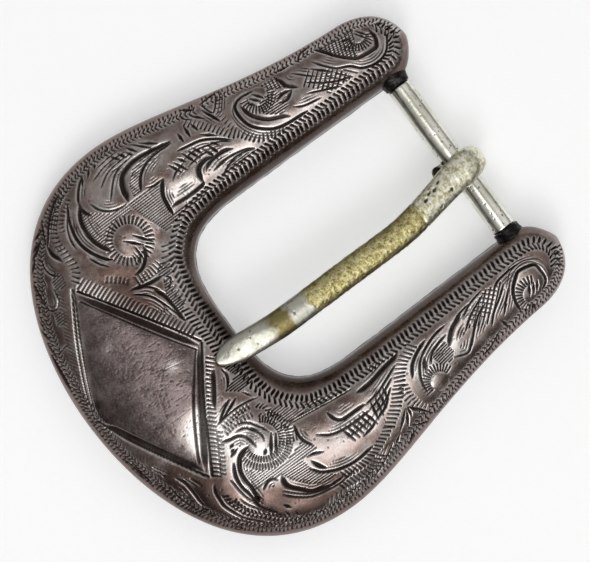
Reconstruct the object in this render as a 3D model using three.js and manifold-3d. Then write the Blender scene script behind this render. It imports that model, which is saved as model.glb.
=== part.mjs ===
// A horseshoe belt buckle for a 20 mm billet strap: a domed hollow frame in the shape of a U, its back
// plate, a round crossbar held in a socket in each arm tip, and a wire tongue looped round the bar.
// Millimetres. +X runs from the closed base to the arm tips, +Y along the bar, +Z out of the front.
// The origin is under the middle of the whole buckle, which lies on its back plate at Z = 0.
import * as THREE from "three";
import { mergeVertices } from "three/addons/utils/BufferGeometryUtils.js";
import Module from "manifold-3d";

// ---- Driving dimensions ---------------------------------------------------------------------------

// The frame's outline, seen from the front.
const frame_length = 53.6; // outer edge of the base to the arm tips
const frame_width = 48.6; // across the shoulders, its widest place
const base_width = 19; // outer edge of the base to the bottom of the opening
const opening_width = 21.4; // between the arms, at the base end
const mouth_width = 21; // between the arms, at their tips
const corner_depth = 8.2; // how far up the arms the rounded bottom of the opening reaches
const arm_width = 8.6; // of each arm, where its rounded tip starts
const tip_length = 6; // of the rounded tip
const tip_to_opening = 3.5; // the point of each tip lies this far outside the mouth
const tip_inner_length = 3.4; // the tip's rounding on the side of the opening
const shoulder_setback = 18.2; // outer edge of the base to the widest place
const arm_flare = 0.07; // slope of the arm's outer edge where the tip starts

// How far each end of a rounded stretch of the outline keeps to its own direction.
const base_reach = 11.3;
const shoulder_base_reach = 13.3;
const shoulder_arm_reach = 7.1;
const arm_reach = 13.7;
const tip_arm_reach = 5;
const tip_point_reach = 1.55;
const tip_inner_point_reach = 0.55;
const tip_inner_reach = 2;
const corner_side_reach = 7.85;
const corner_bottom_reach = 5.9;

// The frame's heights, above the plane it lies on.
const plate_thickness = 0.8;
const shell_thickness = 0.6;
const outer_wall_height = 2.4; // the upright outer edge
const inner_wall_height = 3.2; // the upright edge of the opening
const base_height = 6.6; // crest of the base
const arm_height = 6.4; // crest of the arms
const dome_power = 2.3; // 2 is an ellipse, more is flatter on top
const plate_inset = 0.15; // the plate's edge lies this far inside the shell's

// The crossbar and its sockets.
const bar_radius = 1.38;
const bar_setback = 4.1; // bar axis to the arm tips
const spigot_radius = 0.95; // the bar's thinner ends
const spigot_depth = 3; // how far each end reaches into its arm
const socket_wall = 0.47;
const socket_stand_out = 0.75; // how far a socket stands out of its arm
const socket_depth = 3.6; // how far a socket reaches into its arm

// The tongue.
const loop_width = 3.6;
const loop_thickness = 1.35;
const loop_offset = -1.6; // where along the bar the loop sits at rest
const loop_wrap = 285; // degrees of turn round the bar, from the top of the loop to the tail's end
const shank_width = 3.1;
const shank_thickness = 2;
const shank_bend = -1.75; // the shank runs this far to one side of its loop
const tip_bend = -1.05; // and its point this far
const bend_length = 11; // of the shank next to the loop, over which it bends
const tongue_overlap = 3.4; // how far the point reaches over the base
const point_length = 4.4; // of the tapered end
const point_thickness = 0.7;

// Gaps between pieces.
const running_gap = 0.27; // loop round bar, and spigot in socket
const seat_gap = 0.15; // socket in its hole
const end_gap = 0.25; // the bar's shoulders to the sockets
const rest_gap = 0.3; // the tongue's point above the base
const under_gap = 0.15; // the loop above the plane the buckle lies on

// ---- Worked out from them -------------------------------------------------------------------------

const base_x = -frame_length / 2;
const tip_x = frame_length / 2;
const opening_x = base_x + base_width;
const corner_x = opening_x + corner_depth; // the opening's sides are straight from here on
const tip_start_x = tip_x - tip_length;
const mouth_start_x = tip_x - tip_inner_length;
const tip_point_y = mouth_width / 2 + tip_to_opening;
const bar_x = tip_x - bar_setback;
const bar_y_limit = mouth_width / 2 - socket_stand_out - end_gap; // the bar's shoulders
const socket_bore = spigot_radius + running_gap;
const socket_radius = socket_bore + socket_wall;
const loop_inner_radius = bar_radius + running_gap;
const bar_height = loop_inner_radius + loop_thickness + under_gap; // bar axis above the back

const wasm = await Module();
wasm.setup();

// ---- Outline --------------------------------------------------------------------------------------

const at = (x, y) => new THREE.Vector2(x, y);

// One rounded stretch: from a to b, leaving a towards a + leave and reaching b from b + reach.
const rounded = (a, leave, b, reach) =>
  new THREE.CubicBezierCurve(a, a.clone().add(leave), b.clone().add(reach), b);

// The half of the outline on the +Y side, as an outer and an inner line from the arm's tip to the base.
function half_outline() {
  const tip = at(tip_x, tip_point_y);
  const tip_start = at(tip_start_x, mouth_width / 2 + arm_width);
  const shoulder = at(base_x + shoulder_setback, frame_width / 2);
  const mouth = at(mouth_start_x, mouth_width / 2);
  const corner = at(corner_x, opening_width / 2);
  const outer = [
    rounded(tip, at(0, tip_point_reach), tip_start, at(tip_arm_reach, -arm_flare * tip_arm_reach)),
    rounded(tip_start, at(-arm_reach, arm_flare * arm_reach), shoulder, at(shoulder_arm_reach, 0)),
    rounded(shoulder, at(-shoulder_base_reach, 0), at(base_x, 0), at(0, base_reach)),
  ];
  const inner = [
    rounded(tip, at(0, -tip_inner_point_reach), mouth, at(tip_inner_reach, 0)),
    new THREE.LineCurve(mouth, corner),
    rounded(corner, at(-corner_side_reach, 0), at(opening_x, 0), at(0, corner_bottom_reach)),
  ];
  return [outer, inner];
}

// A line's points moved inwards by inset, where side is 1 for the outer line and -1 for the inner one.
function inset_points(curves, inset, side) {
  const steps = 120;
  return curves.flatMap((curve) =>
    Array.from({ length: steps + 1 }, (_, i) => {
      const along = curve.getTangent(i / steps);
      return curve.getPoint(i / steps).add(at(-along.y, along.x).multiplyScalar(side * inset));
    }),
  );
}

// How far along the U a point lies: straight down the arm, then turning about the opening's corner.
const turn_radius = 16;
const arm_run = tip_x - corner_x;
const whole_run = arm_run + (turn_radius * Math.PI) / 2;
function run_of(p) {
  if (p.x >= corner_x) return tip_x - p.x;
  return arm_run + turn_radius * Math.atan2(corner_x - p.x, Math.max(p.y, 0));
}

function point_at_run(points, run) {
  for (let i = 1; i < points.length; i++) {
    const before = run_of(points[i - 1]);
    const after = run_of(points[i]);
    if (after >= run && after > before)
      return points[i - 1].clone().lerp(points[i], Math.max(0, (run - before) / (after - before)));
  }
  return points[points.length - 1];
}

// ---- The frame's domed form -----------------------------------------------------------------------

const smooth = (low, high, x) => THREE.MathUtils.smoothstep(x, low, high);
const dome = (u) => Math.sqrt(Math.max(0, 1 - Math.pow(Math.min(1, Math.abs(u)), dome_power)));

// Height of the front at a share t of the way from the outer edge to the opening, less thickness under
// the crest, on a frame whose arms end at end_x.
function front_height(t, x, end_x, thickness) {
  const wall = THREE.MathUtils.lerp(outer_wall_height, inner_wall_height, t);
  const toward_tips = smooth(base_x + base_width / 2, tip_start_x, x);
  const crest = THREE.MathUtils.lerp(base_height, arm_height, toward_tips) - thickness;
  const rise = crest - (outer_wall_height + inner_wall_height) / 2;
  const from_tip = Math.min(1, (end_x - x) / tip_length);
  return wall + rise * dome(2 * t - 1) * dome(1 - from_tip);
}

// A box bent into the U: its length follows the frame, its width goes from the outer edge to the opening.
// bottom is flat, and top(t, x, end_x) is the height of its front.
function u_solid(inset, across, bottom, top) {
  const ribs_tip = 9;
  const ribs_arm = 9;
  const ribs_base = 15;
  const ribs = ribs_tip + ribs_arm + ribs_base;
  const blunt = 0.05; // each tip ends in a sliver this far short of its point
  const [outer, inner] = half_outline();
  const outer_points = inset_points(outer, inset, 1);
  const inner_points = inset_points(inner, inset, -1);
  const end_x = tip_x - inset;
  const run_at = (k) => {
    if (k <= ribs_tip) {
      const share = 1 - Math.cos((k / ribs_tip) * (Math.PI / 2));
      return inset + blunt + (tip_length - inset - blunt) * share;
    }
    if (k <= ribs_tip + ribs_arm)
      return THREE.MathUtils.lerp(tip_length, arm_run, (k - ribs_tip) / ribs_arm);
    return THREE.MathUtils.lerp(arm_run, whole_run, (k - ribs_tip - ribs_arm) / ribs_base);
  };
  const half = Array.from({ length: ribs + 1 }, (_, k) => ({
    outer: point_at_run(outer_points, run_at(k)),
    inner: point_at_run(inner_points, run_at(k)),
  }));
  const geometry = new THREE.BoxGeometry(2, 1, 1, 2 * ribs, across, 1);
  return shaped(geometry, (p) => {
    const k = Math.round(p.x * ribs); // -ribs at one tip, 0 at the middle of the base, ribs at the other
    const rib = half[ribs - Math.abs(k)];
    const t = (1 - Math.cos((p.y + 0.5) * Math.PI)) / 2;
    const plan = rib.outer.clone().lerp(rib.inner, t);
    const side = k < 0 ? 1 : -1;
    const z = p.z < 0 ? bottom : top(t, plan.x, end_x);
    p.set(plan.x, side * plan.y, z);
  });
}

// ---- Solids ---------------------------------------------------------------------------------------

// A geometry whose every vertex is moved by place.
function shaped(geometry, place) {
  const position = geometry.getAttribute("position");
  const p = new THREE.Vector3();
  for (let i = 0; i < position.count; i++) {
    place(p.fromBufferAttribute(position, i));
    position.setXYZ(i, p.x, p.y, p.z);
  }
  return geometry;
}

function solid(geometry) {
  const bare = geometry.clone();
  bare.deleteAttribute("normal");
  bare.deleteAttribute("uv");
  const merged = mergeVertices(bare, 1e-4);
  return new wasm.Manifold(
    new wasm.Mesh({
      numProp: 3,
      vertProperties: merged.getAttribute("position").array,
      triVerts: new Uint32Array(merged.getIndex().array),
    }),
  );
}

function geometry_of(made) {
  const { vertProperties, triVerts } = made.getMesh();
  const geometry = new THREE.BufferGeometry();
  geometry.setAttribute("position", new THREE.BufferAttribute(vertProperties, 3));
  geometry.setIndex(new THREE.BufferAttribute(triVerts, 1));
  return geometry;
}

// A turned piece along the bar's direction, from [radius, y] pairs.
function turned(profile) {
  return new THREE.LatheGeometry(profile.map(([radius, y]) => at(radius, y)), 28);
}

// The hollow front, open at the back, with a round hole in each arm for its socket.
function front_shell_geometry() {
  const across = 14;
  const front = (thickness) => (t, x, end_x) => front_height(t, x, end_x, thickness);
  const outside = solid(u_solid(0, across, plate_thickness, front(0)));
  const hollow = solid(u_solid(shell_thickness, across, 0, front(shell_thickness)));
  const hole_radius = socket_radius + seat_gap;
  const hole_length = mouth_width + 2 * socket_depth;
  const hole = new THREE.CylinderGeometry(hole_radius, hole_radius, hole_length, 28);
  hole.translate(bar_x, 0, bar_height);
  return geometry_of(outside.subtract(hollow).subtract(solid(hole)));
}

const back_plate_geometry = () => u_solid(plate_inset, 2, 0, () => plate_thickness);

// A sleeve soldered through the arm's inner wall, drawn for the +Y arm.
function socket_geometry() {
  const y_near = mouth_width / 2 - socket_stand_out;
  const y_far = mouth_width / 2 + socket_depth;
  const edge = 0.15;
  return turned([
    [socket_bore, y_near],
    [socket_radius - edge, y_near],
    [socket_radius, y_near + edge],
    [socket_radius, y_far],
    [socket_bore, y_far],
    [socket_bore, y_near],
  ]);
}

function crossbar_geometry() {
  const y_end = mouth_width / 2 + spigot_depth;
  return turned([
    [0, -y_end],
    [spigot_radius, -y_end],
    [spigot_radius, -bar_y_limit],
    [bar_radius, -bar_y_limit],
    [bar_radius, bar_y_limit],
    [spigot_radius, bar_y_limit],
    [spigot_radius, y_end],
    [0, y_end],
  ]);
}

// A round bar forged to shape: it is drawn from its point to the bar, and its flattened end is bent
// round the bar. Each section stands square to the centre line, with its width along the bar.
function tongue_geometry() {
  const rows_point = 8;
  const rows_shank = 14;
  const rows_loop = 20;
  const sides = 14;
  const rows = rows_point + rows_shank + rows_loop;
  const point_x = opening_x - tongue_overlap;
  const base_height_there = front_height(1 - tongue_overlap / base_width, point_x, tip_x, 0);
  const point_z = base_height_there + rest_gap + point_thickness / 2;
  const loop_radius = loop_inner_radius + loop_thickness / 2;
  // The straight part touches the loop's circle, leaning by this much from the level.
  const reach = Math.hypot(bar_x - point_x, point_z - bar_height);
  const lean = Math.asin(loop_radius / reach) - Math.atan2(point_z - bar_height, bar_x - point_x);
  const straight = Math.sqrt(reach * reach - loop_radius * loop_radius);

  // The centre line in the XZ plane: d along it from the point, and the turn of its direction.
  const centre_line = (row) => {
    const loop_share = (row - rows_point - rows_shank) / rows_loop;
    if (loop_share > 0) {
      const wrap = loop_share * THREE.MathUtils.degToRad(loop_wrap);
      const turn = lean - wrap;
      const x = bar_x - loop_radius * Math.sin(turn);
      return { d: straight + loop_radius * wrap, x, z: bar_height + loop_radius * Math.cos(turn), turn };
    }
    const d =
      row <= rows_point
        ? point_length * (1 - Math.cos(((row / rows_point) * Math.PI) / 2))
        : THREE.MathUtils.lerp(point_length, straight, (row - rows_point) / rows_shank);
    return { d, x: point_x + d * Math.cos(lean), z: point_z + d * Math.sin(lean), turn: lean };
  };

  return shaped(new THREE.CylinderGeometry(1, 1, rows, sides, rows), (p) => {
    const { d, x, z, turn } = centre_line(Math.round(rows / 2 - p.y));
    const near_loop = smooth(straight - bend_length, straight + loop_radius, d);
    const near_point = 1 - smooth(0, 2 * point_length, d);
    const pointed = Math.max(0.08, dome(1 - Math.min(1, d / point_length)));
    const half_width = (pointed * THREE.MathUtils.lerp(shank_width, loop_width, near_loop)) / 2;
    const forged = THREE.MathUtils.lerp(point_thickness, shank_thickness, smooth(0, point_length, d));
    const half_thickness = THREE.MathUtils.lerp(forged, loop_thickness, near_loop) / 2;
    const bend = shank_bend * (1 - near_loop) + (tip_bend - shank_bend) * near_point;
    p.set(
      x - p.z * half_thickness * Math.sin(turn),
      loop_offset + bend + p.x * half_width,
      z + p.z * half_thickness * Math.cos(turn),
    );
  });
}

// ---- Assembly -------------------------------------------------------------------------------------

const tarnished_silver = { color: 0x4a4045, roughness: 0.42, metalness: 1 };
const nickel_silver = { color: 0xb9b4a4, roughness: 0.32, metalness: 1 };
const black_oxide = { color: 0x2a2724, roughness: 0.6, metalness: 0.8 };
const worn_brass = { color: 0xa39a5c, roughness: 0.38, metalness: 1 };

const buckle = new THREE.Group();

function add(name, geometry, finish, place = () => {}) {
  const mesh = new THREE.Mesh(geometry, new THREE.MeshStandardMaterial(finish));
  mesh.name = name;
  place(mesh);
  buckle.add(mesh);
}

add("front_shell", front_shell_geometry(), tarnished_silver);
add("back_plate", back_plate_geometry(), tarnished_silver);
for (const [side, turn] of [["left", 0], ["right", Math.PI]])
  add("bar_socket_" + side, socket_geometry(), black_oxide, (mesh) => {
    mesh.position.set(bar_x, 0, bar_height);
    mesh.rotation.z = turn;
  });
add("crossbar", crossbar_geometry(), nickel_silver, (mesh) => mesh.position.set(bar_x, 0, bar_height));
add("tongue", tongue_geometry(), worn_brass);

export default buckle;
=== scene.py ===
"""Western ranger-style belt buckle: hollow domed silver frame, hand-engraved, on a soldered back
plate, with a cross pin in two solder collars and a forged tongue lying on the base."""
import math

import bpy
import numpy as np
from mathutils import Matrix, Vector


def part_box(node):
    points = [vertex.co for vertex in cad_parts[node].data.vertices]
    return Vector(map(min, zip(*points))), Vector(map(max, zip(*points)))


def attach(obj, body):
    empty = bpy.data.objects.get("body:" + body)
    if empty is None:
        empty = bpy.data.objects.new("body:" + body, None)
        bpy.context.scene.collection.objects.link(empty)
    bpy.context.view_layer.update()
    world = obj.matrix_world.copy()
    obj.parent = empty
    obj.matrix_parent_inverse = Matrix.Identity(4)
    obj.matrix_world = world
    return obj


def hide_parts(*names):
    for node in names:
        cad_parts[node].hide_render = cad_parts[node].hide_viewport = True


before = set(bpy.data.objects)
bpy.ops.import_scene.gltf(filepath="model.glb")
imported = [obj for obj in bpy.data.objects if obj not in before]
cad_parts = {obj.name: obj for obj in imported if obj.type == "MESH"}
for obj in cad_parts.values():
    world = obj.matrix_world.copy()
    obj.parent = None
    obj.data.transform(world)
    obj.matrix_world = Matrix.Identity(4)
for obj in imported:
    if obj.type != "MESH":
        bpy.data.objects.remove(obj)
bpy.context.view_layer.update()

MM = 0.001

# ---------------------------------------------------------------- sizes, in mm, as in the part
TIP_X, TIP_Y = 26.8, 14.0
TIP_START = (20.8, 19.1)
SHOULDER = (-8.6, 24.3)
BASE_X = -26.8
MOUTH = (23.4, 10.5)
CORNER = (0.4, 10.7)
OPENING_X = -7.8
ARM_RUN = 26.4
BASE_RUN_PER_TURN = 16.0
OUTER_WALL, INNER_WALL = 2.4, 3.2
BASE_HEIGHT, ARM_HEIGHT = 6.6, 6.4
CROWN_EASE = 9.5  # from the base inwards, before the crown starts to fall to the arms' height
DOME_POWER = 2.3
TIP_LENGTH = 6.0
PLATE = 0.8
PLATE_INSET = 0.15
BAR_X, BAR_Z = 22.7, 3.15
BAR_RADIUS, SPIGOT_RADIUS = 1.38, 0.95
BAR_SHOULDER, BAR_END = 9.7, 13.5
SOCKET_BORE, COLLAR_RADIUS = 1.22, 1.5
SOCKET_FACE, SOCKET_BACK = 9.75, 14.1
LOOP_RADIUS = 2.325
LOOP_WRAP = math.radians(285)
POINT_X = -11.2
POINT_LIFT = 0.65  # the tongue's centre line above the frame at its point
TONGUE_WIDTH, LOOP_WIDTH, LOOP_THICKNESS = 3.1, 3.6, 1.35
POINTED_LENGTH = 4.4
LOOP_Y = -1.6
WAY_SCALE = 50.0  # mm along the tongue for each unit of its "way" attribute
WALL_ROWS = 5
BEAD_RADIUS, BEAD_STEP = 0.15, 0.22
UV_MARGIN = 0.01


def lerp(a, b, t):
    return a + (b - a) * t


def smoothstep(a, b, x):
    t = np.clip((x - a) / (b - a), 0, 1)
    return t * t * (3 - 2 * t)


def dome(u):
    return np.sqrt(np.clip(1 - np.minimum(1, np.abs(u)) ** DOME_POWER, 0, 1))


# ---------------------------------------------------------------- smooth seeded noise
def lattice_noise(x, y, size, seed, octaves=3, fade=0.5):
    """Smooth noise in -1..1 at points x, y in mm, with features about size mm across."""
    total = np.zeros(np.shape(x))
    weight, weights = 1.0, 0.0
    for octave in range(octaves):
        grid = np.random.default_rng(seed + octave).uniform(-1, 1, (257, 257))
        u, v = x / size + 31.7, y / size + 57.3
        i, j = np.floor(u).astype(int), np.floor(v).astype(int)
        fu, fv = u - i, v - j
        fu, fv = fu * fu * (3 - 2 * fu), fv * fv * (3 - 2 * fv)
        i, j = i % 256, j % 256
        low = lerp(grid[i, j], grid[i + 1, j], fu)
        high = lerp(grid[i, j + 1], grid[i + 1, j + 1], fu)
        total += weight * lerp(low, high, fv)
        weights += weight
        weight *= fade
        size *= 0.5
    return total / weights


# ---------------------------------------------------------------- frame outline and front
def bezier(a, leave, b, reach, count=500):
    """A cubic curve from a to b; leave and reach are its handles, seen from each end."""
    t = np.linspace(0, 1, count)[:, None]
    a, leave, b, reach = (np.array(v, float) for v in (a, leave, b, reach))
    return (
        (1 - t) ** 3 * a
        + 3 * (1 - t) ** 2 * t * (a + leave)
        + 3 * (1 - t) * t**2 * (b + reach)
        + t**3 * b
    )


def half_outlines():
    """The outer and inner edge of the +Y half, from the arm's tip to the middle of the base."""
    outer = np.concatenate(
        [
            bezier((TIP_X, TIP_Y), (0, 1.55), TIP_START, (5, -0.35)),
            bezier(TIP_START, (-13.7, 0.959), SHOULDER, (7.1, 0)),
            bezier(SHOULDER, (-13.3, 0), (BASE_X, 0), (0, 11.3)),
        ]
    )
    inner = np.concatenate(
        [
            bezier((TIP_X, TIP_Y), (0, -0.55), MOUTH, (2, 0)),
            bezier(MOUTH, (-7, 0), CORNER, (7, 0)),
            bezier(CORNER, (-7.85, 0), (OPENING_X, 0), (0, 5.9)),
        ]
    )
    return outer, inner


def run_of(p):
    """How far along the frame each point lies: by x on the arm, by angle round the base."""
    turn = np.arctan2(CORNER[0] - p[:, 0], np.maximum(p[:, 1], 1e-9))
    return np.where(p[:, 0] >= CORNER[0], TIP_X - p[:, 0], ARM_RUN + BASE_RUN_PER_TURN * turn)


def at_runs(curve, runs):
    """Points of a curve at the given runs."""
    own = run_of(curve)
    keep = np.concatenate([[True], np.diff(np.maximum.accumulate(own)) > 1e-9])
    return np.stack([np.interp(runs, own[keep], curve[keep, k]) for k in (0, 1)], 1)


def ribs(arm_step, base_step):
    """Matching outer and inner points round the whole frame, from the +Y tip to the -Y tip."""
    outer, inner = half_outlines()
    end = ARM_RUN + BASE_RUN_PER_TURN * math.pi / 2
    runs = np.concatenate(
        [
            [0.05, 0.12, 0.2],
            np.arange(0.3, ARM_RUN, arm_step),
            np.arange(ARM_RUN, end - base_step / 2, base_step),
            [end],
        ]
    )
    out, inn = at_runs(outer, runs), at_runs(inner, runs)
    mirror = np.array([1, -1])
    return (
        np.concatenate([out, out[-2::-1] * mirror]),
        np.concatenate([inn, inn[-2::-1] * mirror]),
    )


def front_height(t, x):
    """Height of the front, t from 0 at the outer edge to 1 at the inner one."""
    crown = lerp(BASE_HEIGHT, ARM_HEIGHT, smoothstep(BASE_X + CROWN_EASE, TIP_START[0], x))
    crown = crown - (OUTER_WALL + INNER_WALL) / 2
    falling = dome(1 - np.minimum(1, (TIP_X - x) / TIP_LENGTH))
    return lerp(OUTER_WALL, INNER_WALL, t) + crown * dome(2 * t - 1) * falling


def even_across(count):
    """Steps across the frame, evenly spaced along a middling cross-section."""
    t = (1 - np.cos(np.pi * np.linspace(0, 1, 4000))) / 2
    arc = np.concatenate(
        [[0], np.cumsum(np.hypot(np.diff(t) * 13, np.diff(dome(2 * t - 1)) * 3.7))]
    )
    return np.interp(np.linspace(0, arc[-1], count), arc, t)


# ---------------------------------------------------------------- engraving, as a depth map
CELL = 0.03
MAP_X, MAP_Y = -27.4, -24.9
MAP_W, MAP_H = 1830, 1664
depth_map = np.zeros((MAP_H, MAP_W), np.float32)
raise_map = np.zeros((MAP_H, MAP_W), np.float32)


def spline(points, step=0.15):
    """A smooth curve through a few points."""
    p = np.array(points, float)
    if len(p) == 2:
        return p
    ends = np.concatenate([[2 * p[0] - p[1]], p, [2 * p[-1] - p[-2]]])
    out = []
    for a, b, c, d in zip(ends, ends[1:], ends[2:], ends[3:]):
        count = max(2, int(np.hypot(*(c - b)) / step))
        t = np.linspace(0, 1, count, endpoint=False)[:, None]
        out.append(
            0.5 * (2 * b + (c - a) * t + (2 * a - 5 * b + 4 * c - d) * t**2
                   + (3 * b - a - 3 * c + d) * t**3)
        )
    return np.concatenate(out + [p[-1:]])


def lengths(path):
    """Distance along a path at each of its points."""
    return np.concatenate([[0], np.cumsum(np.hypot(*np.diff(path, axis=0).T))])


def stamp(a, b, left, right, deep, wall=None):
    """One straight piece of a cut, from a to b; left, right and deep are (start, end) pairs."""
    reach = max(left + right)
    low = np.floor((np.minimum(a, b) - reach - (MAP_X, MAP_Y)) / CELL).astype(int)
    high = np.ceil((np.maximum(a, b) + reach - (MAP_X, MAP_Y)) / CELL).astype(int) + 1
    low, high = np.maximum(low, 0), np.minimum(high, (MAP_W, MAP_H))
    if (high <= low).any():
        return
    x = MAP_X + np.arange(low[0], high[0]) * CELL - a[0]
    y = (MAP_Y + np.arange(low[1], high[1]) * CELL - a[1])[:, None]
    dx, dy = b[0] - a[0], b[1] - a[1]
    s = np.clip((x * dx + y * dy) / max(dx * dx + dy * dy, 1e-9), 0, 1)
    away = np.hypot(x - s * dx, y - s * dy)
    half = np.where(dx * y - dy * x > 0, lerp(left[0], left[1], s), lerp(right[0], right[1], s))
    if wall:
        cut = lerp(deep[0], deep[1], s) * np.clip((half - away) / wall, 0, 1)
    else:
        cut = lerp(deep[0], deep[1], s) * np.clip(1 - away / half, 0, 1)
    part = depth_map[low[1]:high[1], low[0]:high[0]]
    np.maximum(part, cut, out=part)


def cut(points, width=0.28, deep=0.17, flare=0.0, taper=0.7, wall=None):
    """An engraved line. A flare is the wide sloping side of a bright cut, left (+) or right (-)."""
    path = spline(points)
    if len(path) == 2:
        path = lerp(path[0], path[1], np.linspace(0, 1, 9)[:, None])
    run = lengths(path)
    swell = np.minimum(1, np.minimum(run, run[-1] - run) / max(min(taper, run[-1] / 2), 1e-6))
    swell = 0.35 + 0.65 * swell**0.8
    left = swell * (flare if flare > 0 else width / 2)
    right = swell * (-flare if flare < 0 else width / 2)
    for k in range(len(path) - 1):
        stamp(path[k], path[k + 1], (left[k], left[k + 1]), (right[k], right[k + 1]),
              (deep * swell[k], deep * swell[k + 1]), wall)


def bar(a, b, width=0.42, deep=0.24):
    """One deep wedge-shaped stroke, widest in the middle."""
    mid = (np.array(a, float) + b) / 2
    half = width / 2
    for end in np.array([a, b], float):
        stamp(end, mid, (half * 0.4, half), (half * 0.4, half), (deep * 0.5, deep))


hand = np.random.default_rng(3)


def ticks(points, pitch, length, width=0.2, deep=0.13, lean=0.0, offset=0.0, curl=0.0, loose=0.04):
    """A row of short strokes across a path, leaning by so many degrees, optionally S-curled."""
    path = spline(points)
    run = lengths(path)
    at = np.arange(pitch / 2, run[-1], pitch)
    at = at + hand.normal(0, loose * pitch, len(at))
    p = np.stack([np.interp(at, run, path[:, k]) for k in (0, 1)], 1)
    ahead = np.stack([np.interp(at + 0.3, run, path[:, k]) for k in (0, 1)], 1)
    behind = np.stack([np.interp(at - 0.3, run, path[:, k]) for k in (0, 1)], 1)
    along = ahead - behind
    along /= np.maximum(np.hypot(*along.T), 1e-9)[:, None]
    across = np.stack([-along[:, 1], along[:, 0]], 1)
    c, s = math.cos(math.radians(lean)), math.sin(math.radians(lean))
    for q, u, n in zip(p, along, across):
        q = q + n * (offset + hand.normal(0, loose * 0.6))
        way = (n * c + u * s) * length / 2 * hand.uniform(1 - 2 * loose, 1 + 2 * loose)
        if curl:
            cut([q - way + u * curl, q - way * 0.5, q + way * 0.5, q + way - u * curl],
                width, deep, taper=length / 3)
        else:
            stamp(q - way, q + way, (width / 2, width / 3), (width / 2, width / 3),
                  (deep, deep * 0.6))


def ring(center, r0, r1, count, start=0, stop=360, width=0.26, deep=0.24):
    """Short rays round a centre, between two radii and two angles."""
    for angle in np.radians(np.linspace(start, stop, count)):
        way = np.array([math.cos(angle), math.sin(angle)])
        stamp(center + way * r0, center + way * r1, (width / 2, width / 2.6),
              (width / 2, width / 2.6), (deep, deep * 0.7))


def hatch(corners, angle, pitch, width=0.19, deep=0.2):
    """Fine parallel lines inside a polygon."""
    p = np.array(corners, float)
    turn = math.radians(angle)
    along = np.array([math.cos(turn), math.sin(turn)])
    across = np.array([-along[1], along[0]])
    level = p @ across
    for h in np.arange(level.min() + pitch / 2, level.max(), pitch):
        hits = []
        for a, b, la, lb in zip(p, np.roll(p, -1, 0), level, np.roll(level, -1)):
            if (la - h) * (lb - h) < 0:
                hits.append((a + (b - a) * (h - la) / (lb - la)) @ along)
        hits.sort()
        for s0, s1 in zip(hits[::2], hits[1::2]):
            stamp(along * s0 + across * h, along * s1 + across * h,
                  (width / 2, width / 2.5), (width / 2, width / 2.5), (deep, deep * 0.8))


def boss(center, radius, height):
    """A small raised dome left between the cuts."""
    x = MAP_X + np.arange(MAP_W) * CELL - center[0]
    y = (MAP_Y + np.arange(MAP_H) * CELL - center[1])[:, None]
    near = np.clip(1 - (x * x + y * y) / radius**2, 0, 1)
    np.maximum(raise_map, height * np.sqrt(near), out=raise_map)


# rows that follow the two edges all the way round
outer_half = half_outlines()[0]
outer_edge = np.concatenate([outer_half[40::12], outer_half[-13:40:-12] * (1, -1)])

# each row along the outer edge: distance from it, lean, stroke length
BASE_ROWS = ((0.78, 15, 0.28), (1.2, 42, 0.38), (1.6, -34, 0.38))
ARM_ROWS = ((0.45, 12, 0.24), (0.84, 40, 0.34), (1.22, -34, 0.32))
CHEVRON_PATH = [
    (24.6, 16.6), (25.3, 15.2), (25.2, 13.9), (24.3, 12.8), (22.4, 12.3), (16, 12.35),
    (8, 12.5), (0, 12.6), (-4.5, 12), (-5.9, 11.2), (-7.4, 9.8), (-8.4, 8), (-8.9, 4.5),
    (-9, 0), (-9.2, -4), (-9.2, -6.5), (-8.9, -8), (-8.2, -9.5), (-7, -10.9), (-5.8, -11.8),
    (-4, -12.3), (-1, -12.6), (8, -12.6), (16, -12.35), (22.4, -12.3), (24.3, -12.8),
    (25.2, -13.9), (25.3, -15.2), (24.6, -16.6),
]


def edge_rows():
    """The rows of small strokes along both edges, and the two rows beside the tongue."""
    x, y = outer_edge.T
    arm_start = 4
    for part, rows in (
        (x <= arm_start, BASE_ROWS),
        ((x > arm_start) & (y > 0), ARM_ROWS),
        ((x > arm_start) & (y < 0), ARM_ROWS),
    ):
        for offset, lean, length in rows:
            ticks(outer_edge[part], 0.5, length, 0.25, 0.22, lean, offset, loose=0.08)
    ticks(CHEVRON_PATH, 0.57, 0.82, 0.36, 0.3, 12, offset=0.32, curl=0.1)
    ticks(CHEVRON_PATH, 0.57, 0.64, 0.33, 0.26, -32, offset=-0.38)
    ticks([(-10.5, 4.2), (-10.3, 0), (-10.4, -3.1)], 0.5, 0.85, 0.3, 0.24, 15)
    ticks([(-7.8, 11), (-9, 9.5), (-10, 7.6), (-10.1, 4.5)], 0.6, 0.8, 0.26, 0.16, -20)


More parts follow.
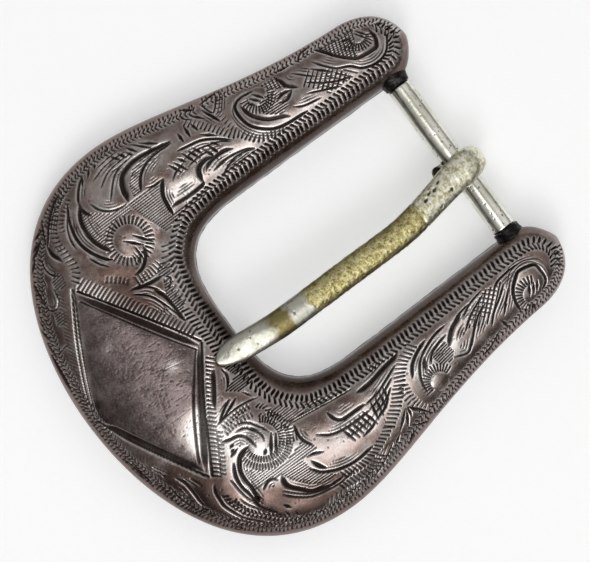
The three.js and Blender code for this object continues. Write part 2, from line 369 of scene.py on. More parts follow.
def diamond():
    """The plain lozenge panel on the base, with its border grooves and the strokes beside it."""
    for outside, inside in (
        ([(-18.8, 12.7), (-13.3, 4), (-11.1, 0.2)], [(-19.2, 11.6), (-14.8, 4.1), (-12, -0.3)]),
        ([(-25.6, 0.1), (-24.1, -3.5), (-21.2, -8.8), (-19.3, -12.1)],
         [(-24.9, -1.2), (-23.2, -4.4), (-19.6, -10.2)]),
        ([(-11.1, 0.2), (-14.9, -5.3), (-16.5, -8), (-19, -12.3)],
         [(-12, 0), (-15.7, -4.5), (-18, -8), (-19.3, -10.3)]),
    ):
        middle = (spline(outside, 2)[0] + spline(inside, 2)[0]) / 2
        last = (np.array(outside[-1]) + inside[-1]) / 2
        cut([middle, last], 0.86, 0.13, wall=0.16, taper=0.05)
        cut(outside, 0.3, 0.3, taper=0.05)
        cut(inside, 0.22, 0.22, taper=0.05)
    cut([(-19, 13.2), (-22.1, 8.2), (-24.5, 3.6), (-25.8, 0.3)], 0.26, 0.24, taper=0.2)
    cut([(-19.5, 11.9), (-22.1, 7.3), (-24.1, 3.4), (-25.2, 0.9)], 0.2, 0.18, taper=0.2)
    cut([(-18.5, 13.6), (-21.9, 7.9)], 0.2, 0.12)
    ticks([(-18, 13.2), (-13.0, 4.6), (-11, 1.2)], 0.46, 1.25, 0.27, 0.2, 10)
    ticks([(-15.5, 11.8), (-14.4, 10.9), (-13.5, 10)], 0.45, 0.6, 0.24, 0.15)
    ticks([(-11.3, -1.6), (-13.7, -4.9), (-16, -8.3), (-18.7, -12.9)], 0.46, 0.85, 0.3, 0.22, 8)
    ticks([(-15.3, -8.6), (-17.9, -12.7)], 0.46, 0.6, 0.24, 0.18, 8)
    ticks([(-20.4, 13.5), (-23.8, 6.5), (-25.4, 2.6), (-26.1, 0)], 0.42, 0.9, 0.16, 0.08, 35)
    ticks([(-26.2, -0.6), (-25.2, -3.6), (-23.6, -7)], 0.42, 0.6, 0.15, 0.06, -30)


# each line: width, flare, points
LINES_UP = [
    (0.32, 0, [(-11, 22.4), (-12, 21.5), (-12.7, 20.6), (-13, 19.9)]),
    (0.2, 0.5, [(-12.6, 18.3), (-12.95, 19.2), (-13, 20)]),
    (0.24, 0, [(-12, 19.4), (-11.5, 18.2), (-10.6, 17.4), (-9.5, 17), (-8.8, 17)]),
    (0.2, 0, [(-9.2, 22.05), (-7.5, 22.3), (-6.3, 22.3)]),
    (0.2, 0, [(-10.2, 21.15), (-8.5, 21.7), (-7, 21.85), (-5.5, 21.7)]),
    (0.2, 0, [(-10, 20), (-8.5, 20.9), (-7, 21.2), (-5, 21.25)]),
    (0.2, 0, [(-10, 18.2), (-8.8, 19.5), (-8, 20.2), (-7, 20.7), (-5.2, 20.9)]),
    (0.22, -0.68, [(-8.5, 17.1), (-8.3, 18.5), (-7.5, 19.8), (-6, 20.4), (-4.5, 20.45),
                   (-2.5, 20.1), (-1, 19.7)]),
    (0.34, 0, [(-1, 19.4), (-2.5, 19.55), (-4, 19.4), (-5.2, 18.9), (-6, 18.2), (-6.7, 17.1)]),
    (0.26, 0, [(-6, 17.1), (-5.2, 16.75), (-4, 16.8)]),
    (0.46, 0, [(-4, 16.8), (-4.6, 16.1), (-5.1, 15.2), (-5.3, 14), (-5.4, 13)]),
    (0.2, 0, [(-3.2, 16), (-2.4, 16.5), (-1, 16.9)]),
    (0.2, 0.4, [(-5, 13.7), (-3, 13.5), (-1, 13.55), (-0.6, 14)]),
    (0.34, 0, [(-14.3, 22.4), (-15.5, 21.8), (-17, 20.5), (-18, 19.2), (-18.6, 18.4)]),
    (0.2, 0.5, [(-18.6, 18.5), (-18.7, 17.4), (-18.2, 16.2)]),
    (0.24, 0, [(-17.5, 21.1), (-18.1, 20), (-18.6, 18.7)]),
    (0.22, 0, [(-19.9, 18), (-20.2, 16.6), (-19.9, 15.6), (-19.3, 15)]),
    (0.22, 0, [(-22.2, 16.2), (-22.5, 14.5), (-22.3, 13.2)]),
    (0.2, 0, [(-21, 16), (-21.3, 14.8)]),
    (0.2, 0, [(-16.1, 16.2), (-16, 17.5), (-15.6, 18.6), (-15, 19.5), (-14, 20.6)]),
    (0.36, 0, [(-14, 20.9), (-14.8, 19.5), (-15.3, 18), (-15.4, 16.5), (-15, 15),
               (-14.2, 13.6), (-13.5, 13)]),
    (0.2, -0.6, [(-13.2, 13.8), (-13.8, 14.8), (-14.2, 16), (-14.2, 17.8), (-13.8, 19),
                 (-13, 20)]),
    (0.2, 0, [(-15.6, 14.8), (-15, 13.5), (-14.3, 12.6)]),
    (0.2, 0, [(-22.7, 14.3), (-22.5, 12.8), (-21.8, 12.4), (-21, 13), (-20.7, 14.4)]),
    (0.2, 0, [(-24.5, 14), (-24.6, 11.5), (-24.4, 10.2)]),
    (0.2, 0, [(-24.9, 10), (-25, 8)]),
    (0.2, 0.3, [(-25.9, 4.5), (-25.6, 6.5), (-25.3, 9)]),
    (0.18, 0, [(-24.3, 8.3), (-23.3, 8.6), (-23, 8)]),
    (0.22, 0, [(-14, 9.2), (-12.5, 8.6), (-11.4, 7.4)]),
    (0.22, -0.4, [(-13.7, 9.2), (-12, 8.7), (-10.2, 8.5)]),
    (0.22, 0, [(-14, 8.7), (-12.7, 7.5), (-12, 6), (-11.5, 4.5), (-11.2, 3)]),
    (0.2, 0.5, [(-11.1, 3), (-11.2, 6.3), (-11.8, 7.8)]),
    (0.2, 0, [(-10.2, 8.4), (-9.7, 7.7), (-10.3, 7), (-11, 6.8)]),
    (0.28, 0.3, [(-10, 12.2), (-10.5, 11.2), (-11.5, 10.4), (-12.5, 10.2)]),
    (0.2, 0, [(-10.8, 12.8), (-10.9, 11.6), (-11.8, 10.9)]),
    (0.3, 0.5, [(-0.7, 14), (-0.2, 15.2), (0.8, 15.6), (2, 15.4)]),
    (0.3, 0.4, [(0.4, 14.8), (1.5, 15.2), (3, 15.2), (4, 14.9)]),
    (0.24, 0, [(1, 14.2), (3, 14.4), (5, 14), (6, 13.5)]),
    (0.24, 0, [(1.7, 13.3), (3.5, 13.9), (5, 13.8), (6, 13.4)]),
    (0.3, 0, [(-1, 18.3), (0.5, 18), (1.8, 17.7), (3, 17), (4.5, 15.7)]),
    (0.2, 0, [(-1, 17.1), (0.5, 17.2), (2.5, 16.7), (3.5, 16.3), (4.3, 15.6)]),
    (0.2, 0, [(-1, 16.2), (0.5, 16.4), (2, 16.3)]),
    (0.34, 0, [(9.5, 18.6), (8.5, 18.9), (7.4, 18.8), (6.8, 18.2), (6.7, 17), (7, 15.8),
               (7.8, 14.8), (9, 13.9), (10.5, 13.5), (13, 13.3)]),
    (0.2, 0.55, [(7.4, 18.1), (7.5, 17), (8, 16), (9, 15), (10.5, 14.3), (11, 14)]),
    (0.22, 0.35, [(11, 15.8), (12, 15.6), (13, 16.2)]),
    (0.22, 0.35, [(11, 16.2), (12, 16.4), (13, 16.2)]),
    (0.2, 0, [(1.4, 21), (2.4, 20.1)]),
    (0.34, 0, [(3.8, 20.4), (4.3, 19.2), (4.7, 18.1)]),
    (0.2, 0, [(4, 21), (6, 21), (4.7, 19.4), (4, 21)]),
    (0.22, 0, [(14, 17.7), (15.4, 16.3), (16, 15.8)]),
    (0.22, 0, [(14.5, 16.1), (16, 14.9), (17.5, 14), (19, 13.5)]),
    (0.22, 0, [(14, 14.9), (15.5, 14.2), (17.5, 13.3)]),
    (0.22, 0, [(12, 14.6), (13, 14), (15, 13.6)]),
    (0.22, 0, [(16.5, 17.4), (17.3, 16.2), (18.2, 15.2), (19, 14.9)]),
    (0.2, 0.5, [(17.5, 18.3), (18.3, 17.2), (18.8, 16.4), (20, 15.1), (21, 14.5), (22.8, 14.3),
                (23.4, 14.6), (23.8, 15.5), (23.7, 16.6)]),
    (0.28, 0, [(18.4, 15), (19.5, 14.5), (20.5, 13.5), (22, 13), (23.5, 13.3), (24.5, 14.3),
               (25, 15.2)]),
    (0.24, 0, [(15.5, 17.9), (15.5, 18.5), (16.2, 19), (17.5, 19)]),
    (0.2, 0.45, [(12.3, 18.3), (12.6, 17), (13.2, 16.3), (13.6, 16)]),
]
# each bar: its two ends
BARS_UP = [
    ((-11.5, 21.4), (-10.9, 22.4)), ((-10.5, 21.8), (-9.8, 22.6)), ((-9.3, 22.2), (-9, 22.7)),
    ((-7.1, 22.2), (-6.5, 21.3)), ((-6.3, 22), (-5.8, 21.1)), ((-5.5, 21.6), (-5.1, 20.9)),
    ((-5.2, 22), (-4.5, 20.9)), ((-4.5, 21.9), (-3, 20.3)), ((-3.8, 21.6), (-2.2, 20.3)),
    ((-2.6, 17.6), (-1.9, 16.1)), ((-2, 17.5), (-1.3, 16)), ((-1.4, 17.6), (-0.9, 16.8)),
    ((-0.7, 17.8), (0, 16)), ((0, 17.6), (0.6, 16.2)), ((0.6, 17.6), (1.1, 16.4)),
    ((1.4, 16.9), (2.1, 14.9)), ((2.1, 16.8), (2.6, 15.2)), ((2.6, 16.9), (3, 16.2)),
    ((2.1, 18.3), (3.5, 17.1)), ((0.2, 19.8), (0.2, 18.7)), ((1.2, 20), (1.1, 18.7)),
    ((2, 19.8), (2.2, 18.8)), ((2, 21.8), (3.2, 20.9)), ((2.4, 20.7), (3.5, 19.4)),
    ((-20, 19.8), (-18, 20.4)), ((-20.6, 18.9), (-18.6, 19.6)), ((-21, 18.2), (-19, 19.3)),
    ((-21.8, 17.1), (-20.6, 18.2)), ((-11.4, 13.9), (-9.9, 12.3)), ((-10.2, 13.8), (-8.9, 12)),
    ((8.7, 18.2), (9.5, 17.2)), ((9.2, 18.4), (10, 17.3)), ((8.2, 18), (8.8, 17.2)),
    ((22, 17.1), (23, 15.7)), ((22.3, 17.2), (23.2, 16.1)), ((15.9, 16.9), (17.6, 15.2)),
    ((12.7, 18.9), (14.2, 18.6)),
]
LINES_DOWN = [
    (0.22, -0.55, [(-12.8, -16.7), (-12.9, -17.8), (-12.2, -18.8), (-11, -20), (-9, -20.7)]),
    (0.18, 0, [(-14, -18.4), (-13, -19.5), (-11.5, -20.5), (-9.5, -21), (-7.5, -21.1),
               (-5.8, -20.8)]),
    (0.16, 0, [(-13.8, -18), (-12.8, -19.1), (-11.4, -20.2), (-9.4, -20.75), (-7.5, -20.8)]),
    (0.34, 0, [(-10, -17.8), (-9.3, -18.8), (-8.2, -19.5), (-6.8, -20), (-5.2, -20.2),
               (-3, -20)]),
    (0.5, 0, [(-9.3, -17.3), (-9, -18.2), (-8.5, -18.9)]),
    (0.3, 0, [(-9.4, -16.6), (-8.6, -16.8), (-7.7, -17.2)]),
    (0.34, 0, [(-8.5, -13), (-8.8, -14), (-8.7, -15), (-8.2, -16)]),
    (0.28, 0, [(-7.2, -15.3), (-6, -16.2), (-4.5, -16.6), (-2.5, -16.7), (-1, -16.6)]),
    (0.3, 0.3, [(-4.9, -14), (-4.7, -15), (-4, -15.7), (-2.5, -15.8), (-1, -15.8)]),
    (0.26, 0, [(-3.2, -18.5), (-2, -18.3), (-1, -17.9)]),
    (0.18, 0, [(-4.7, -17.6), (-3, -17.6), (-1, -17.3)]),
    (0.22, 0, [(-5, -23), (-3, -22.2), (-1, -21)]),
    (0.2, -0.6, [(-1, -14.2), (1, -14.1), (3, -13.7), (5, -13.4)]),
    (0.24, 0, [(-1, -15.9), (0.5, -15.7), (2, -15.2), (3.5, -14.6), (4.2, -14.3)]),
    (0.22, 0, [(-1, -16.6), (0.5, -16.3), (2, -15.7), (3, -15.2)]),
    (0.22, 0, [(-1, -17.3), (1, -16.8), (2.3, -16)]),
    (0.26, 0, [(-1, -17.9), (0.5, -17.4), (1.5, -16.6)]),
    (0.36, 0, [(4.8, -16.6), (5.6, -15.5), (6.8, -14.7), (8.3, -14.1)]),
    (0.26, 0, [(5.2, -19), (5.3, -17.9), (5.7, -16.8), (6.6, -15.6), (8, -14.8), (9.5, -14.3),
               (11, -14.1)]),
    (0.2, -0.5, [(6.4, -17), (6.6, -16.2), (7.2, -15.5)]),
    (0.26, 0, [(7.3, -16.6), (8, -15.8), (9.2, -15.3), (10.5, -15)]),
    (0.2, -0.5, [(10, -16.2), (10.5, -15.5), (11.5, -14.7), (13, -14.1)]),
    (0.26, 0, [(9.8, -17.6), (11.2, -18.1), (12, -17.6), (13, -16.7)]),
    (0.2, 0, [(1.8, -20.9), (2.5, -21.3), (3.5, -21.6)]),
    (0.2, 0, [(12, -14.4), (13.2, -14), (14.8, -13.8)]),
    (0.2, 0, [(13, -14.7), (14.5, -13.9), (16.5, -13.4)]),
    (0.22, 0, [(12.4, -16), (14, -14.9), (16.3, -13.9)]),
    (0.24, 0, [(12, -17.8), (13, -16.7), (14.5, -15.5), (16, -14.8)]),
    (0.22, 0, [(15.1, -17.3), (16, -16.3), (17.5, -15.3), (18.8, -14.3)]),
    (0.22, 0, [(16.8, -17.2), (17.7, -16.2), (19, -15)]),
    (0.24, 0, [(17.5, -14.2), (18.5, -13.7), (20, -13.5), (21.5, -13.5)]),
    (0.36, 0, [(18.6, -18), (18.7, -16.7), (19.2, -15.5), (20.3, -14.5), (21, -14.2),
               (22.6, -14.6), (22.9, -15.3), (22.8, -16.8), (21.8, -17.5)]),
    (0.2, 0.4, [(16.2, -17.4), (16.4, -18.6)]),
    (0.24, 0, [(15.5, -18.2), (14, -19.1), (12.5, -19.4)]),
    (0.3, 0, [(-19.4, -13.1), (-19.75, -13.9), (-19.9, -15), (-19.9, -15.7), (-19.6, -16.7),
              (-19.1, -17.9), (-18.3, -18.9), (-17.4, -19.8)]),
    (0.36, 0, [(-16.2, -12.4), (-16.9, -13.7), (-17.1, -15), (-16.9, -16.4), (-16.9, -17.7),
               (-16.6, -18.5), (-15.8, -19.6)]),
    (0.2, 0, [(-17.6, -13.6), (-17.5, -15.5), (-17.3, -16.5), (-16.9, -17.5)]),
    (0.2, 0, [(-18.1, -16), (-17.8, -17), (-17.2, -18), (-16.4, -19.3)]),
    (0.5, 0, [(-13.9, -11.9), (-15.2, -12.3), (-16.1, -13.4), (-16.35, -14.6),
              (-16.3, -15.9), (-16.6, -17.2)]),
    (0.7, 0, [(-16.5, -16.7), (-16.6, -17.4)]),
    (0.3, 0, [(-15.4, -16.7), (-14.6, -16.3), (-13.9, -16.3), (-13.5, -16.8)]),
    (0.3, 0, [(-14.9, -20.2), (-14.8, -20.8)]),
    (0.3, 0, [(-14, -20.8), (-14, -21.4)]),
    (0.3, 0, [(-14.6, -19.4), (-14.2, -20.1)]),
    (0.24, 0, [(-21.6, -12.9), (-21.7, -13.8), (-21.5, -14.4)]),
    (0.28, 0, [(-22.4, -14.5), (-21.9, -14.7), (-21.4, -15.1)]),
    (0.2, 0, [(-21, -16.9), (-20.2, -17.3), (-19.4, -18.2), (-18.4, -19.3)]),
    (0.2, 0, [(-25.7, -5.2), (-25.5, -6.6), (-25.3, -8)]),
    (0.28, 0, [(-25.3, -5.5), (-25.2, -7.2), (-24.9, -9)]),
    (0.18, 0, [(-23.5, -8.3), (-23.3, -8.8), (-23.3, -9.5)]),
    (0.3, 0, [(-23.4, -10.3), (-23.5, -11.6), (-23.2, -12.9), (-22.6, -14.2)]),
    (0.3, 0.24, [(-21.8, -14.2), (-21.7, -12.6), (-21.8, -11), (-22.3, -10)]),
    (0.28, 0, [(-22.8, -12.9), (-22.2, -13.25)]),
    (0.34, 0, [(-16, -9.8), (-15, -10.15), (-14, -10.4), (-13.45, -11.1), (-13.2, -12.4)]),
    (0.24, 0, [(-13.5, -9.2), (-12.5, -9.7), (-11.8, -10.6), (-11.3, -11.6), (-11.2, -12)]),
    (0.24, 0, [(-14, -9.85), (-13, -10.1), (-12.3, -10.9), (-12, -11.8), (-12.1, -12.5)]),
    (0.2, 0, [(-15.2, -8.05), (-14, -7.9), (-12.5, -7.85), (-11, -8), (-9.8, -8.3)]),
    (0.2, 0.6, [(-14.2, -6.4), (-13.3, -5.2), (-12.4, -3.9), (-11.9, -3.1)]),
    (0.3, 0, [(-11.2, -3.4), (-11.1, -4.3), (-11.5, -5.1), (-12, -5.6)]),
    (0.28, 0, [(-14.9, -8.1), (-13.3, -7), (-12.4, -6.6)]),
    (0.28, 0, [(-14.8, -8.1), (-12.9, -7.4), (-11.8, -6.9)]),
    (0.26, 0, [(-10.9, -6.8), (-10.6, -7.2), (-10.3, -7.8)]),
    (0.16, 0, [(-9, -12.6), (-6, -13), (-3, -13.4), (-1, -13.6)]),
    (0.16, 0, [(-9, -12.3), (-6, -12.75), (-3.2, -13.15)]),
]
BARS_DOWN = [
    ((-11, -12.2), (-12.6, -14.4)), ((-10.6, -12.5), (-12.1, -14.7)),
    ((-0.8, -18), (-0.4, -16)), ((-0.1, -17.9), (0.3, -15.8)), ((0.6, -17.5), (1, -15.6)),
    ((1.3, -16.9), (1.6, -15.4)), ((0.3, -20.5), (2.2, -18.9)), ((1.2, -20.8), (2.3, -19)),
    ((2.3, -19.9), (2.5, -18.9)), ((4.3, -21.1), (2.7, -19)), ((3.2, -20), (2.6, -19)),
    ((-1, -21.5), (0, -20.8)), ((0.3, -22.3), (1.7, -21.5)),
    ((20.3, -17.2), (21, -16)), ((20.8, -17.3), (21.5, -16.2)), ((21.3, -17.2), (22, -16.2)),
    ((-15.5, -10.9), (-15, -10.7)), ((-15.7, -11.4), (-15.3, -11.2)),
    ((-13, -13.7), (-12.5, -13.3)), ((-16, -11.7), (-15, -11.4)),
]
BARS_DOWN += [((-4.7 + 0.6 * k, -16.3), (-4.2 + 0.6 * k, -18.3)) for k in range(6)]


def shading(points, flare):
    """Thin lines that follow a leaf line on its hollow side, as an engraver shades it."""
    path = spline(points)
    run = lengths(path)
    if run[-1] < 2.0 or len(points) < 3:
        return
    ahead = np.gradient(path, axis=0)
    ahead /= np.maximum(np.hypot(*ahead.T), 1e-9)[:, None]
    across = np.stack([-ahead[:, 1], ahead[:, 0]], 1)
    bend = ahead[0, 0] * ahead[-1, 1] - ahead[0, 1] * ahead[-1, 0]
    hollow = 1 if bend > 0 else -1
    first = 0.42 + (abs(flare) if flare * hollow > 0 else 0)
    for k in range(2 if run[-1] < 3.5 else 3):
        keep = (run > run[-1] * (0.16 + 0.1 * k)) & (run < run[-1] * (0.9 - 0.12 * k))
        line = (path + across * hollow * (first + 0.3 * k))[keep]
        if len(line) > 3:
            cut(line[:: max(1, len(line) // 6)], 0.18, 0.12, taper=1.2)


def scrolls():
    for table in (LINES_UP, LINES_DOWN):
        for width, flare, points in table:
            cut(points, width * 1.2, 0.16 + 0.3 * width, flare)
            shading(points, flare)
    for table in (BARS_UP, BARS_DOWN):
        for a, b in table:
            bar(a, b)


SMALL_SCROLL = [(3.5, -16.5), (3.3, -18), (3.5, -19.4), (4.3, -20.5), (6, -21), (8, -20.9), (9.3, -20)]
# each row of strokes in the scrollwork: pitch, length, width, depth, lean, offset, points
TICK_ROWS = [
    (0.5, 0.9, 0.246, 0.22, 12, 0, [(-18.5, 13.4), (-17.5, 14.8), (-17.5, 18), (-17, 19.5),
      (-16, 20.7), (-14.7, 21.9), (-13, 22.6)]),
    (0.45, 0.5, 0.224, 0.17, -10, 0, [(-16.4, 18.6), (-15.6, 19.9), (-13.4, 21.4)]),
    (0.46, 0.8, 0.224, 0.22, 12, 0, [(1.5, 20.5), (2.5, 19.3), (4, 17.5), (4.8, 16.3), (5.8, 15.5),
      (7, 14.1), (8.5, 13.6), (10, 13.1)]),
    (0.46, 0.6, 0.202, 0.17, -12, 0, [(6.3, 20.3), (5.3, 19), (5.3, 17), (5.7, 16)]),
    (0.46, 1.1, 0.246, 0.24, -12, 0, [(-0.5, -19.5), (1.5, -18), (2.5, -17), (3.3, -16.2),
      (4, -15.3), (5, -14.5), (7, -13.6)]),
    (0.46, 0.5, 0.224, 0.2, 10, 0.3, SMALL_SCROLL),
    (0.46, 0.5, 0.224, 0.2, -10, -0.35, SMALL_SCROLL),
    (0.42, 0.55, 0.246, 0.25, 0, 0, [(-14.9, -8.6), (-13, -8.4), (-11.3, -8.4)]),
    (0.42, 0.5, 0.224, 0.22, 0, 0, [(-15.1, -9.25), (-13, -9.15), (-11.2, -9.4)]),
    (0.42, 0.6, 0.246, 0.22, 30, 0, [(-10.5, -8.8), (-9.8, -9.7), (-9.6, -11.2)]),
    (0.42, 0.5, 0.224, 0.2, 30, 0, [(-10.9, -9.8), (-10.3, -10.6), (-10.1, -11.8)]),
    (0.4, 0.6, 0.224, 0.21, 20, 0, [(-9.8, -12.2), (-9, -12.7), (-8.8, -13.6)]),
    (0.4, 0.6, 0.224, 0.21, 20, 0, [(-11.5, -13.4), (-10.2, -14), (-8.9, -14.2)]),
    (0.48, 0.5, 0.269, 0.2, 25, 0.15, [(-19.3, -14.6), (-19.3, -15.8), (-19, -17), (-18.3, -18.3),
      (-17.3, -19.3), (-16.3, -20.4), (-15, -21.5)]),
    (0.48, 0.4, 0.269, 0.2, -25, 0.62, [(-19.3, -15.8), (-19, -17), (-18.3, -18.3), (-17.3, -19.3),
      (-16.3, -20.4), (-15, -21.5)]),
    (0.45, 0.5, 0.246, 0.17, 30, 0, [(-24.4, -9.2), (-24, -11), (-23.5, -13.2), (-22.2, -15.2)]),
    (0.5, 0.5, 0.202, 0.11, 0, 0, [(-22, 12.4), (-23.6, 13.8), (-23.8, 15.4)]),
    (0.58, 0.42, 0.269, 0.18, 35, 0.45, [(-15.9, -21.2), (-13.5, -22.3), (-11, -22.9), (-8, -23.1),
      (-4, -23.1)]),
    (0.6, 0.8, 0.224, 0.14, 35, 0.2, [(-11, -22.2), (-8, -22.5), (-4, -22.4)]),
    (0.42, 1, 0.224, 0.21, 0, 0, [(-13, 9.6), (-11.2, 9.5), (-9.6, 9.7)]),
    (0.45, 0.8, 0.269, 0.2, -20, 0, [(-7.6, -20.6), (-4.5, -20.9), (-1.5, -19.9), (-0.4, -19.2)]),
    (0.45, 0.8, 0.269, 0.2, -20, 0, [(-8.5, -21.6), (-5, -21.9), (-2.6, -21.3)]),
]
# rays round the flowers: centre, inner and outer radius, count, first and last angle
RINGS = [
    ((-10.9, 13.6), 1.9, 2.7, 34, 0, 360),
    ((-12.2, -12.2), 1.9, 2.5, 32, 175, 420),
    ((-12.2, -12.2), 2.7, 3.3, 36, 185, 400),
    ((9.6, 18), 1.2, 2, 16, 170, 350),
    ((22.2, 16.8), 1, 1.8, 14, 165, 330),
    ((7, -18.8), 1.2, 2, 16, 20, 190),
    ((20.7, -17.2), 1.2, 2, 16, 60, 250),
]
# domes at the middle of the flowers: centre, radius, height
BOSSES = [
    ((9.6, 18), 0.9, 0.1),
    ((7, -18.8), 1, 0.12),
    ((22.2, 16.8), 0.8, 0.08),
    ((-10.9, 13.6), 1.5, 0.1),
    ((-12.6, -12), 1.3, 0.08),
]


def tick_bands():
    for pitch, length, width, deep, lean, offset, points in TICK_ROWS:
        ticks(points, pitch, length, width, deep, lean, offset)
    for center, r0, r1, count, start, stop in RINGS:
        ring(center, r0, r1, count, start, stop)
    for center, radius, height in BOSSES:
        boss(center, radius, height)


# each patch of fine lines: the angle and pitch of each set of lines, corners
PATCHES = [
    ([(0, 0.28)], [(-13.4, 19.3), (-12.3, 18.4), (-11.1, 17.3), (-8.7, 16.85), (-8.8, 16),
      (-10.4, 16.2), (-12.7, 15.1), (-13.3, 14.6), (-14.2, 16), (-14.2, 17.4), (-13.8, 18.8)]),
    ([(0, 0.27)], [(-8.6, 16.9), (-4.1, 16.7), (-4.9, 15.8), (-5.4, 14.7), (-5.6, 13.1), (-3, 13),
      (-1, 12.95), (-1, 13.5), (-0.6, 13.1), (-0.8, 12.7), (-4, 12.5), (-7, 12), (-7.4, 13.3),
      (-8.1, 15)]),
    ([(2, 0.26)], [(-7.6, 17.2), (-7.3, 18.4), (-6, 19.6), (-4.1, 20.1), (-1.8, 19.8), (-3.2, 19.6),
      (-5, 19.2), (-6, 18.4), (-6.7, 17.1)]),
    ([(4, 0.28)], [(-20.6, 14), (-19.4, 13.8), (-19, 15), (-19.6, 15.7), (-20.4, 15)]),
    ([(0, 0.28)], [(-22.8, 10.8), (-21.7, 10.6), (-21.3, 11.6), (-22.2, 12.2)]),
    ([(0, 0.28)], [(-11.1, 4.2), (-10.1, 4.4), (-10, 7.2), (-10.3, 8), (-11.1, 6.6), (-11.2, 5)]),
    ([(0, 0.28)], [(-10.6, 8.3), (-9.2, 8), (-8.8, 9), (-9.6, 9.6), (-10.4, 9.1)]),
    ([(0, 0.24)], [(1.6, 13.25), (2.7, 13.85), (4.1, 13.85), (6.3, 13.15)]),
    ([(-4, 0.27)], [(9, 17), (11, 17.5), (12, 16.6), (11, 16.2), (11.8, 15.1), (10.6, 14.7),
      (9, 15.9)]),
    ([(-8, 0.27), (82, 0.4)], [(10.5, 18.7), (12.4, 18.5), (12.6, 17.2), (13.4, 16.4), (12.2, 17.1),
      (11.2, 17.6)]),
    ([(-10, 0.25), (70, 0.4)], [(18, 18.2), (22.2, 17.6), (21.4, 16.2), (20.8, 14.9), (19.3, 15.9),
      (18.6, 17)]),
    ([(0, 0.27)], [(-15.8, -13.8), (-16.1, -16.2), (-12.4, -16.5), (-8, -16.5), (-8.7, -14.9),
      (-9.5, -15.1), (-10.6, -15.5), (-12.2, -15.7), (-13.8, -15.2), (-14.8, -14.2)]),
    ([(-3, 0.27)], [(-12.8, -16.5), (-10.1, -16.7), (-9.8, -18), (-8.9, -19.1), (-8, -20.2),
      (-9.8, -20), (-11.2, -18.9), (-12.1, -17.7)]),
    ([(0, 0.26)], [(-9.6, -10.1), (-8.5, -10.4), (-7.2, -11.9), (-6.1, -12.6), (-8.6, -12.6),
      (-9.3, -11.6)]),
    ([(8, 0.26)], [(7.9, -15.9), (9.9, -15.4), (10.1, -17), (9.4, -17.7), (8.2, -17.4)]),
    ([(0, 0.26)], [(-12.3, -5.6), (-10.6, -5.1), (-9.3, -5.2), (-9.3, -6.5), (-11, -6.6)]),
    ([(0, 0.26)], [(-10.8, -3.6), (-9.4, -3.6), (-9.4, -4.9), (-10.3, -4.9)]),
    ([(-60, 0.36)], [(-24.1, -7.2), (-23.1, -8), (-22.6, -9.4), (-23.4, -9)]),
    ([(-70, 0.4)], [(-21.6, -10.6), (-20.6, -11.4), (-20.4, -12.4), (-21.3, -12)]),
    ([(42, 0.46)], [(12.9, -15.9), (16.4, -13.6), (18.9, -14), (15.3, -17)]),
    ([(-46, 0.5)], [(13.4, -15.4), (16.4, -13.7), (18.2, -14), (15.6, -16.2)]),
    ([(38, 0.5)], [(14, 15.9), (16.3, 13.6), (19, 13.4), (18.4, 14.9), (15.4, 17)]),
    ([(-50, 0.55)], [(15.8, 13.4), (19.8, 13.4), (19.3, 14.4), (16.6, 15.2)]),
]


def hatchings():
    for line_sets, corners in PATCHES:
        for angle, pitch in line_sets:
            hatch(corners, angle, pitch)


def wear_and_tear():
    """Pits and scratches from use, over the whole front and more on the plain panel."""
    rng = np.random.default_rng(11)
    for _ in range(900):
        p = rng.uniform((-26, -23), (25, 23))
        r = rng.uniform(0.05, 0.12)
        stamp(p, p + rng.normal(0, 0.06, 2), (r, r), (r, r * 0.8), (r * 0.5, r * 0.4))
    for _ in range(200):
        p = np.array([-19, 0.3]) + rng.normal(0, 1, 2) * (3.2, 5)
        r = rng.uniform(0.04, 0.12)
        stamp(p, p + rng.normal(0, 0.1, 2), (r, r), (r, r * 0.7), (r * 0.45, r * 0.35))
    for _ in range(130):
        p = np.array([-19, 0]) + rng.normal(0, 1, 2) * (3, 4.5)
        angle = rng.normal(math.radians(20), 0.9)
        way = np.array([math.cos(angle), math.sin(angle)]) * rng.uniform(0.4, 2.6)
        w = rng.uniform(0.03, 0.05)
        stamp(p, p + way, (w, w / 2), (w, w / 2), (0.035, 0.015))
    for _ in range(160):
        p = rng.uniform((-24, -22), (24, 22))
        angle = rng.uniform(0, math.pi)
        way = np.array([math.cos(angle), math.sin(angle)]) * rng.uniform(0.5, 3)
        w = rng.uniform(0.03, 0.05)
        stamp(p, p + way, (w, w / 2), (w, w / 2), (0.03, 0.012))


def blurred(a, radius):
    """Three box blurs, close to a Gaussian of that radius in mm."""
    n = max(1, int(round(radius / CELL)))
    for axis in (0, 1, 0, 1, 0, 1):
        pad = [(0, 0), (0, 0)]
        pad[axis] = (n + 1, n)
        total = np.cumsum(np.pad(a, pad, mode="edge"), axis=axis, dtype=np.float64)
        size = a.shape[axis]
        top = np.take(total, range(2 * n + 1, 2 * n + 1 + size), axis)
        a = ((top - np.take(total, range(size), axis)) / (2 * n + 1)).astype(np.float32)
    return a


def sample(field, x, y):
    """The depth map or a blur of it, read between its cells."""
    u = np.clip((x - MAP_X) / CELL, 0, MAP_W - 1.001)
    v = np.clip((y - MAP_Y) / CELL, 0, MAP_H - 1.001)
    i, j = u.astype(int), v.astype(int)
    fu, fv = u - i, v - j
    low = lerp(field[j, i], field[j, i + 1], fu)
    high = lerp(field[j + 1, i], field[j + 1, i + 1], fu)
    return lerp(low, high, fv)


edge_rows()
diamond()
tick_bands()
hatchings()
scrolls()
wear_and_tear()


# ---------------------------------------------------------------- meshes
def add_object(name, mesh):
    thing = bpy.data.objects.new(name, mesh)
    bpy.context.scene.collection.objects.link(thing)
    return thing


